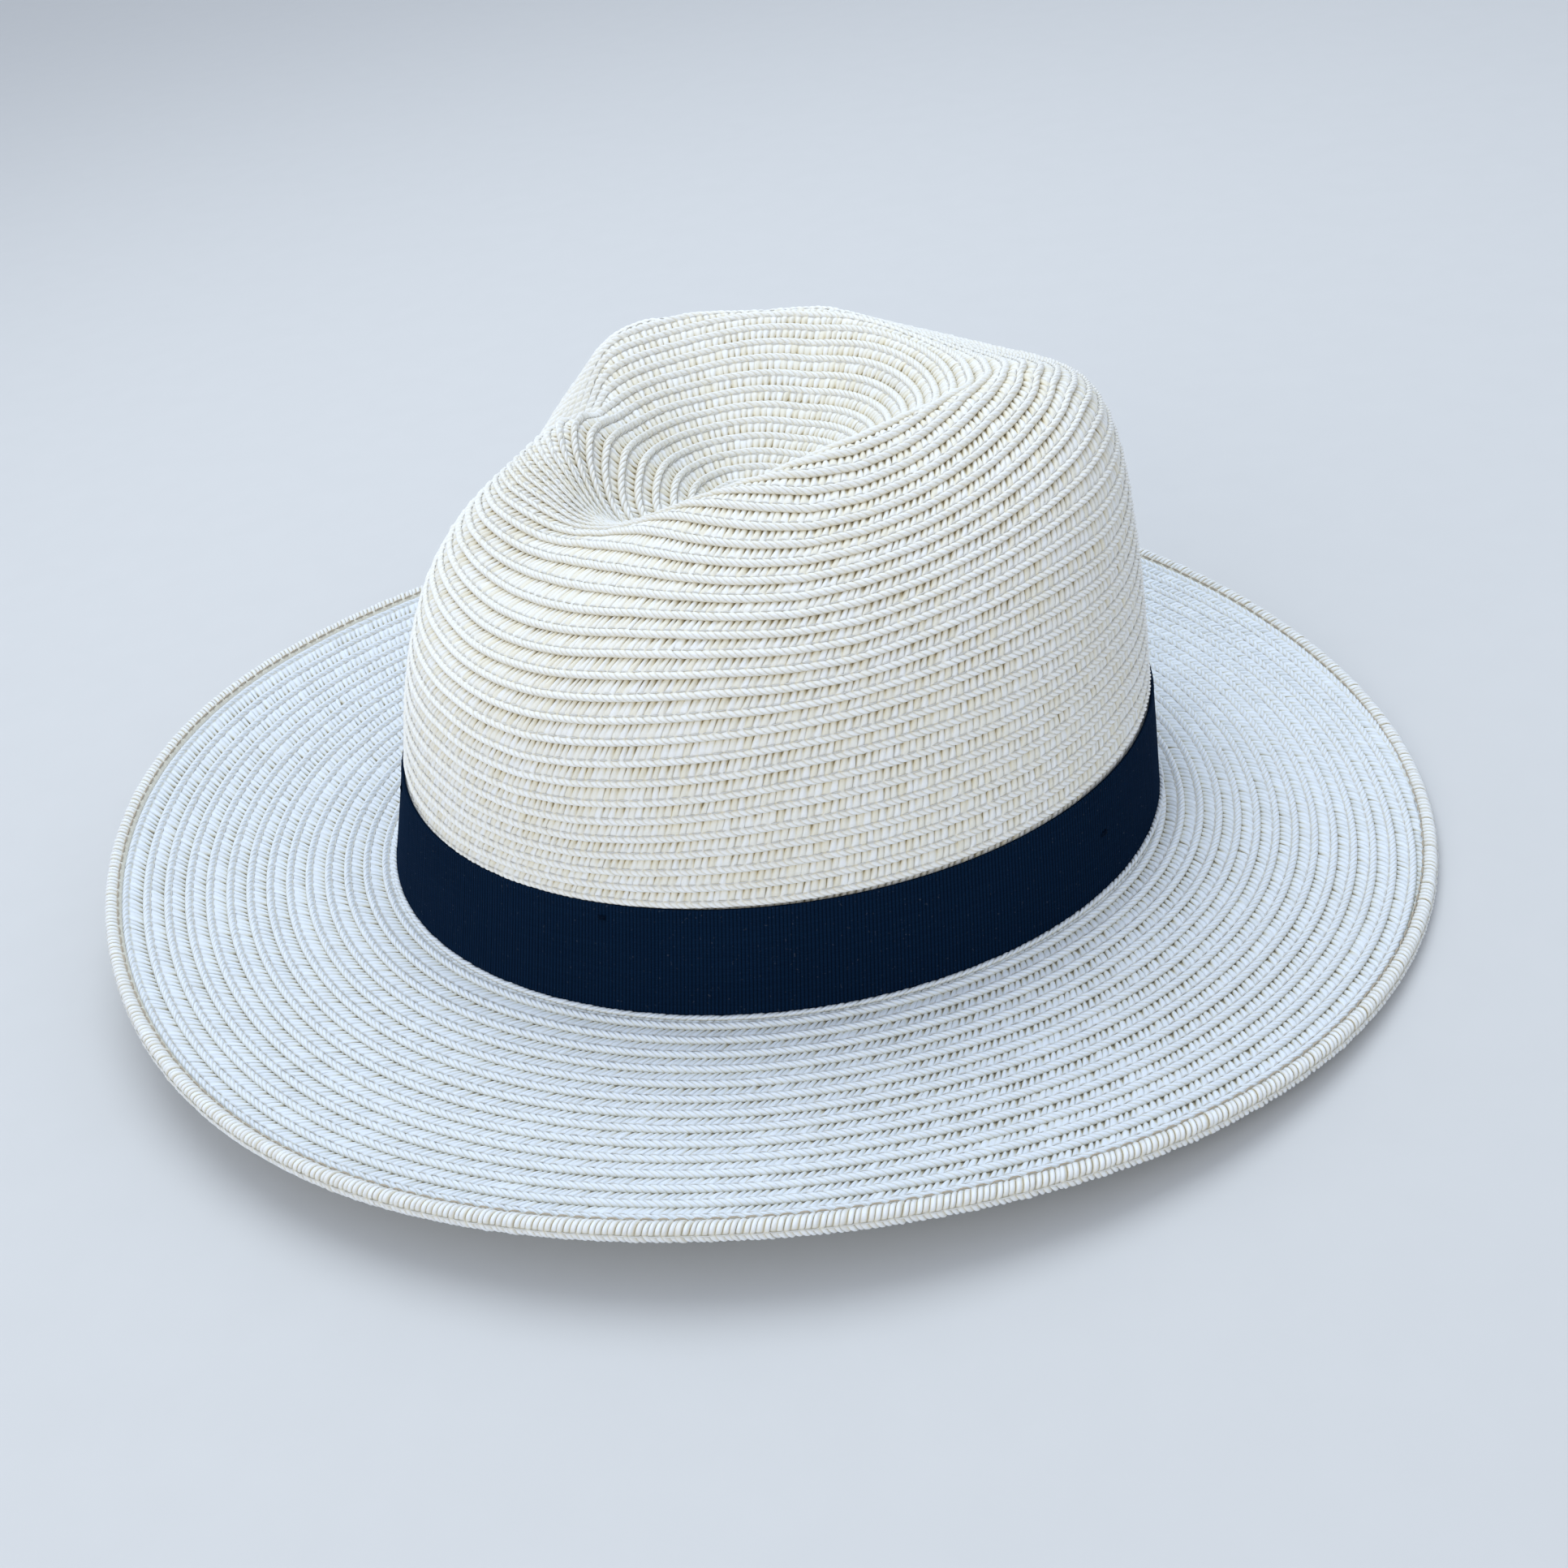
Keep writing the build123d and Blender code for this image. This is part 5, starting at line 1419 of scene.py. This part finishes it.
def care_label():
    LW, LH, LT = 26.0, 21.0, 0.5
    p0, t, n = wall_frame(140.0, SWEAT_H + 0.5, 0.0)
    p1, _, _ = wall_frame(140.0, SWEAT_H + 0.5 + LH, 0.0)
    q0 = p0 - n * (SHELL * 1.08 + 2.0)
    rise = p1 - p0
    rise = rise - (rise @ t) * t
    rise /= np.linalg.norm(rise)
    Y = np.cross(rise, t)                                      # thickness direction, as in the CAD
    nx, nz = 40, 34
    X, Z = np.meshgrid(np.linspace(-LW / 2, LW / 2, nx), np.linspace(0, LH, nz), indexing="ij")
    r = np.random.default_rng(5)
    curl = 0.55 * (X / (LW / 2)) ** 2 * (Z / LH) ** 1.5 + 0.35 * np.sin(Z / LH * 2.6) * (Z / LH) + 0.10 * np.sin(X * 0.55) * (Z / LH)
    sgn = 1.0 if (Y @ n) < 0 else -1.0                         # bends towards the inside of the hat
    def sheet(d):
        hem = 0.10 * np.exp(-((Z - LH + 1.2) / 0.9) ** 2) + 0.10 * np.exp(-((Z - 1.0) / 0.9) ** 2)
        off = LT / 2 + (d * (0.19 + hem)) + sgn * curl
        return q0 + X[..., None] * t + Z[..., None] * rise + off[..., None] * Y
    A, B = sheet(1.0), sheet(-1.0)
    V = np.concatenate([A, B[:, ::-1]], 1)
    q, I, J = grid_faces(nx, 2 * nz, False, True)
    verts = V.reshape(-1, 3)
    caps = []
    for e in (0, nx - 1):
        o = e * 2 * nz
        a = np.arange(nz - 1)
        f = np.stack([o + a, o + a + 1, o + 2 * nz - 2 - a, o + 2 * nz - 1 - a], -1)
        caps.append(f if e == 0 else f[:, ::-1])
    flip = orient(verts, q) is not q
    allq = np.vstack([q] + caps)
    uvg = face_uv(I, J, np.arange(nx) * LW / (nx - 1), np.r_[np.arange(nz) * LH / (nz - 1), LH + 0.6 + np.arange(nz + 1) * LH / (nz - 1)])
    uvo = face_uv(I, J, 0.02 + 0.96 * np.arange(nx) / (nx - 1), 0.02 + 0.96 * np.arange(2 * nz + 1) / (2 * nz))
    pad = np.zeros((2 * (nz - 1), 4, 2)) + np.array([[0, 0], [.002, 0], [.002, .002], [0, .002]])
    uvg = np.concatenate([uvg, pad]); uvo = np.concatenate([uvo, pad])
    if flip:
        allq, uvg, uvo = allq[:, ::-1], uvg[:, ::-1], uvo[:, ::-1]
    ob = build("care_label_satin", verts, allq, M_LABEL, "label", {}, {"weave": uvg, "OFBake": uvo})
    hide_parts("care_label")
    paths = []
    for sg in (-1, 1):
        c = q0 + t * (sg * 8.0) - rise * 0.6 + Y * (LT / 2)
        for k, dz in enumerate((-0.28, 0.25)):
            u = np.linspace(-1, 1, 9)
            paths.append(c + (u * 1.5)[:, None] * t + dz * rise + (0.25 * (1 - u ** 4) - 0.05)[:, None] * (Y * sgn))
    lt = tube_object("care_label_tack_threads", paths, 0.20, M_THREAD, "white_thread", sides=7)
    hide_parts("care_label_tacks")


care_label()

# =====================================================================
# floor, light, camera
# =====================================================================
lo = min(v.co.z for v in edge_ob.data.vertices)
me = bpy.data.meshes.new("floor")
s_ = 40.0
me.from_pydata([(-s_, -s_, lo), (s_, -s_, lo), (s_, s_, lo), (-s_, s_, lo)], [], [(0, 1, 2, 3)])
floor = bpy.data.objects.new("floor", me)
bpy.context.scene.collection.objects.link(floor)
fm, fnt, fb = new_mat("floor")
fn = noise(fnt, coords(fnt), 60.0, 4.0)
fnt.links.new(mix_col(fnt, maths(fnt, "MULTIPLY_ADD", fn, 0.5, 0.25), (0.60, 0.60, 0.60), (0.64, 0.64, 0.64)), fb.inputs["Base Color"])
fb.inputs["Roughness"].default_value = 0.85
me.materials.append(fm)

world = bpy.data.worlds.new("studio")
bpy.context.scene.world = world
world.use_nodes = True
wn = world.node_tree
bg = wn.nodes["Background"]
tc = wn.nodes.new("ShaderNodeTexCoord")
sp = wn.nodes.new("ShaderNodeSeparateXYZ")
wn.links.new(tc.outputs["Generated"], sp.inputs[0])
skyc = ramp(wn, maths(wn, "MULTIPLY_ADD", sp.outputs[2], 0.5, 0.5),
            [(0.0, (0.60, 0.60, 0.60)), (0.47, (0.70, 0.70, 0.69)), (0.62, (0.80, 0.84, 0.90)), (1.0, (0.76, 0.87, 1.04))])
wn.links.new(skyc, bg.inputs["Color"])
bg.inputs["Strength"].default_value = 0.84


def area(name, loc, target, size, energy, col):
    l = bpy.data.lights.new(name, "AREA")
    l.shape = "DISK"
    l.size = size
    l.energy = energy
    l.color = col
    o = bpy.data.objects.new(name, l)
    bpy.context.scene.collection.objects.link(o)
    from mathutils import Vector
    o.location = loc
    d = Vector(target) - Vector(loc)
    o.rotation_euler = d.to_track_quat("-Z", "Y").to_euler()
    return o


area("key", (0.15, -0.35, 1.20), (0, 0, 0.03), 1.0, 7.7, (0.86, 0.94, 1.0))
area("fill", (0.45, 1.35, 0.65), (0, 0, 0.05), 1.2, 6.0, (1.0, 0.995, 0.985))

az, el, roll = math.radians(104.69), math.radians(34.61), math.radians(-10.17)
dist, tx, ty, fl = 503.46, 4.77, 2.43, 1.154
back = np.array([math.cos(el) * math.cos(az), math.cos(el) * math.sin(az), math.sin(el)])
fwd = -back
right = np.cross(fwd, [0, 0, 1.0]); right /= np.linalg.norm(right)
upv = np.cross(right, fwd)
r2 = math.cos(roll) * right + math.sin(roll) * upv
u2 = -math.sin(roll) * right + math.cos(roll) * upv
C = (back * dist + right * tx + upv * ty) * 0.001
from mathutils import Matrix
cam = bpy.data.cameras.new("camera")
cam.sensor_width = 36.0
cam.sensor_fit = "HORIZONTAL"
cam.lens = fl * 36.0
cam.clip_start = 0.01
co = bpy.data.objects.new("camera", cam)
bpy.context.scene.collection.objects.link(co)
co.matrix_world = Matrix([[r2[0], u2[0], back[0], C[0]], [r2[1], u2[1], back[1], C[1]], [r2[2], u2[2], back[2], C[2]], [0, 0, 0, 1]])
bpy.context.scene.camera = co

bpy.context.scene.view_settings.view_transform = "Standard"
bpy.context.scene.view_settings.exposure = 0.0
bpy.context.view_layer.update()
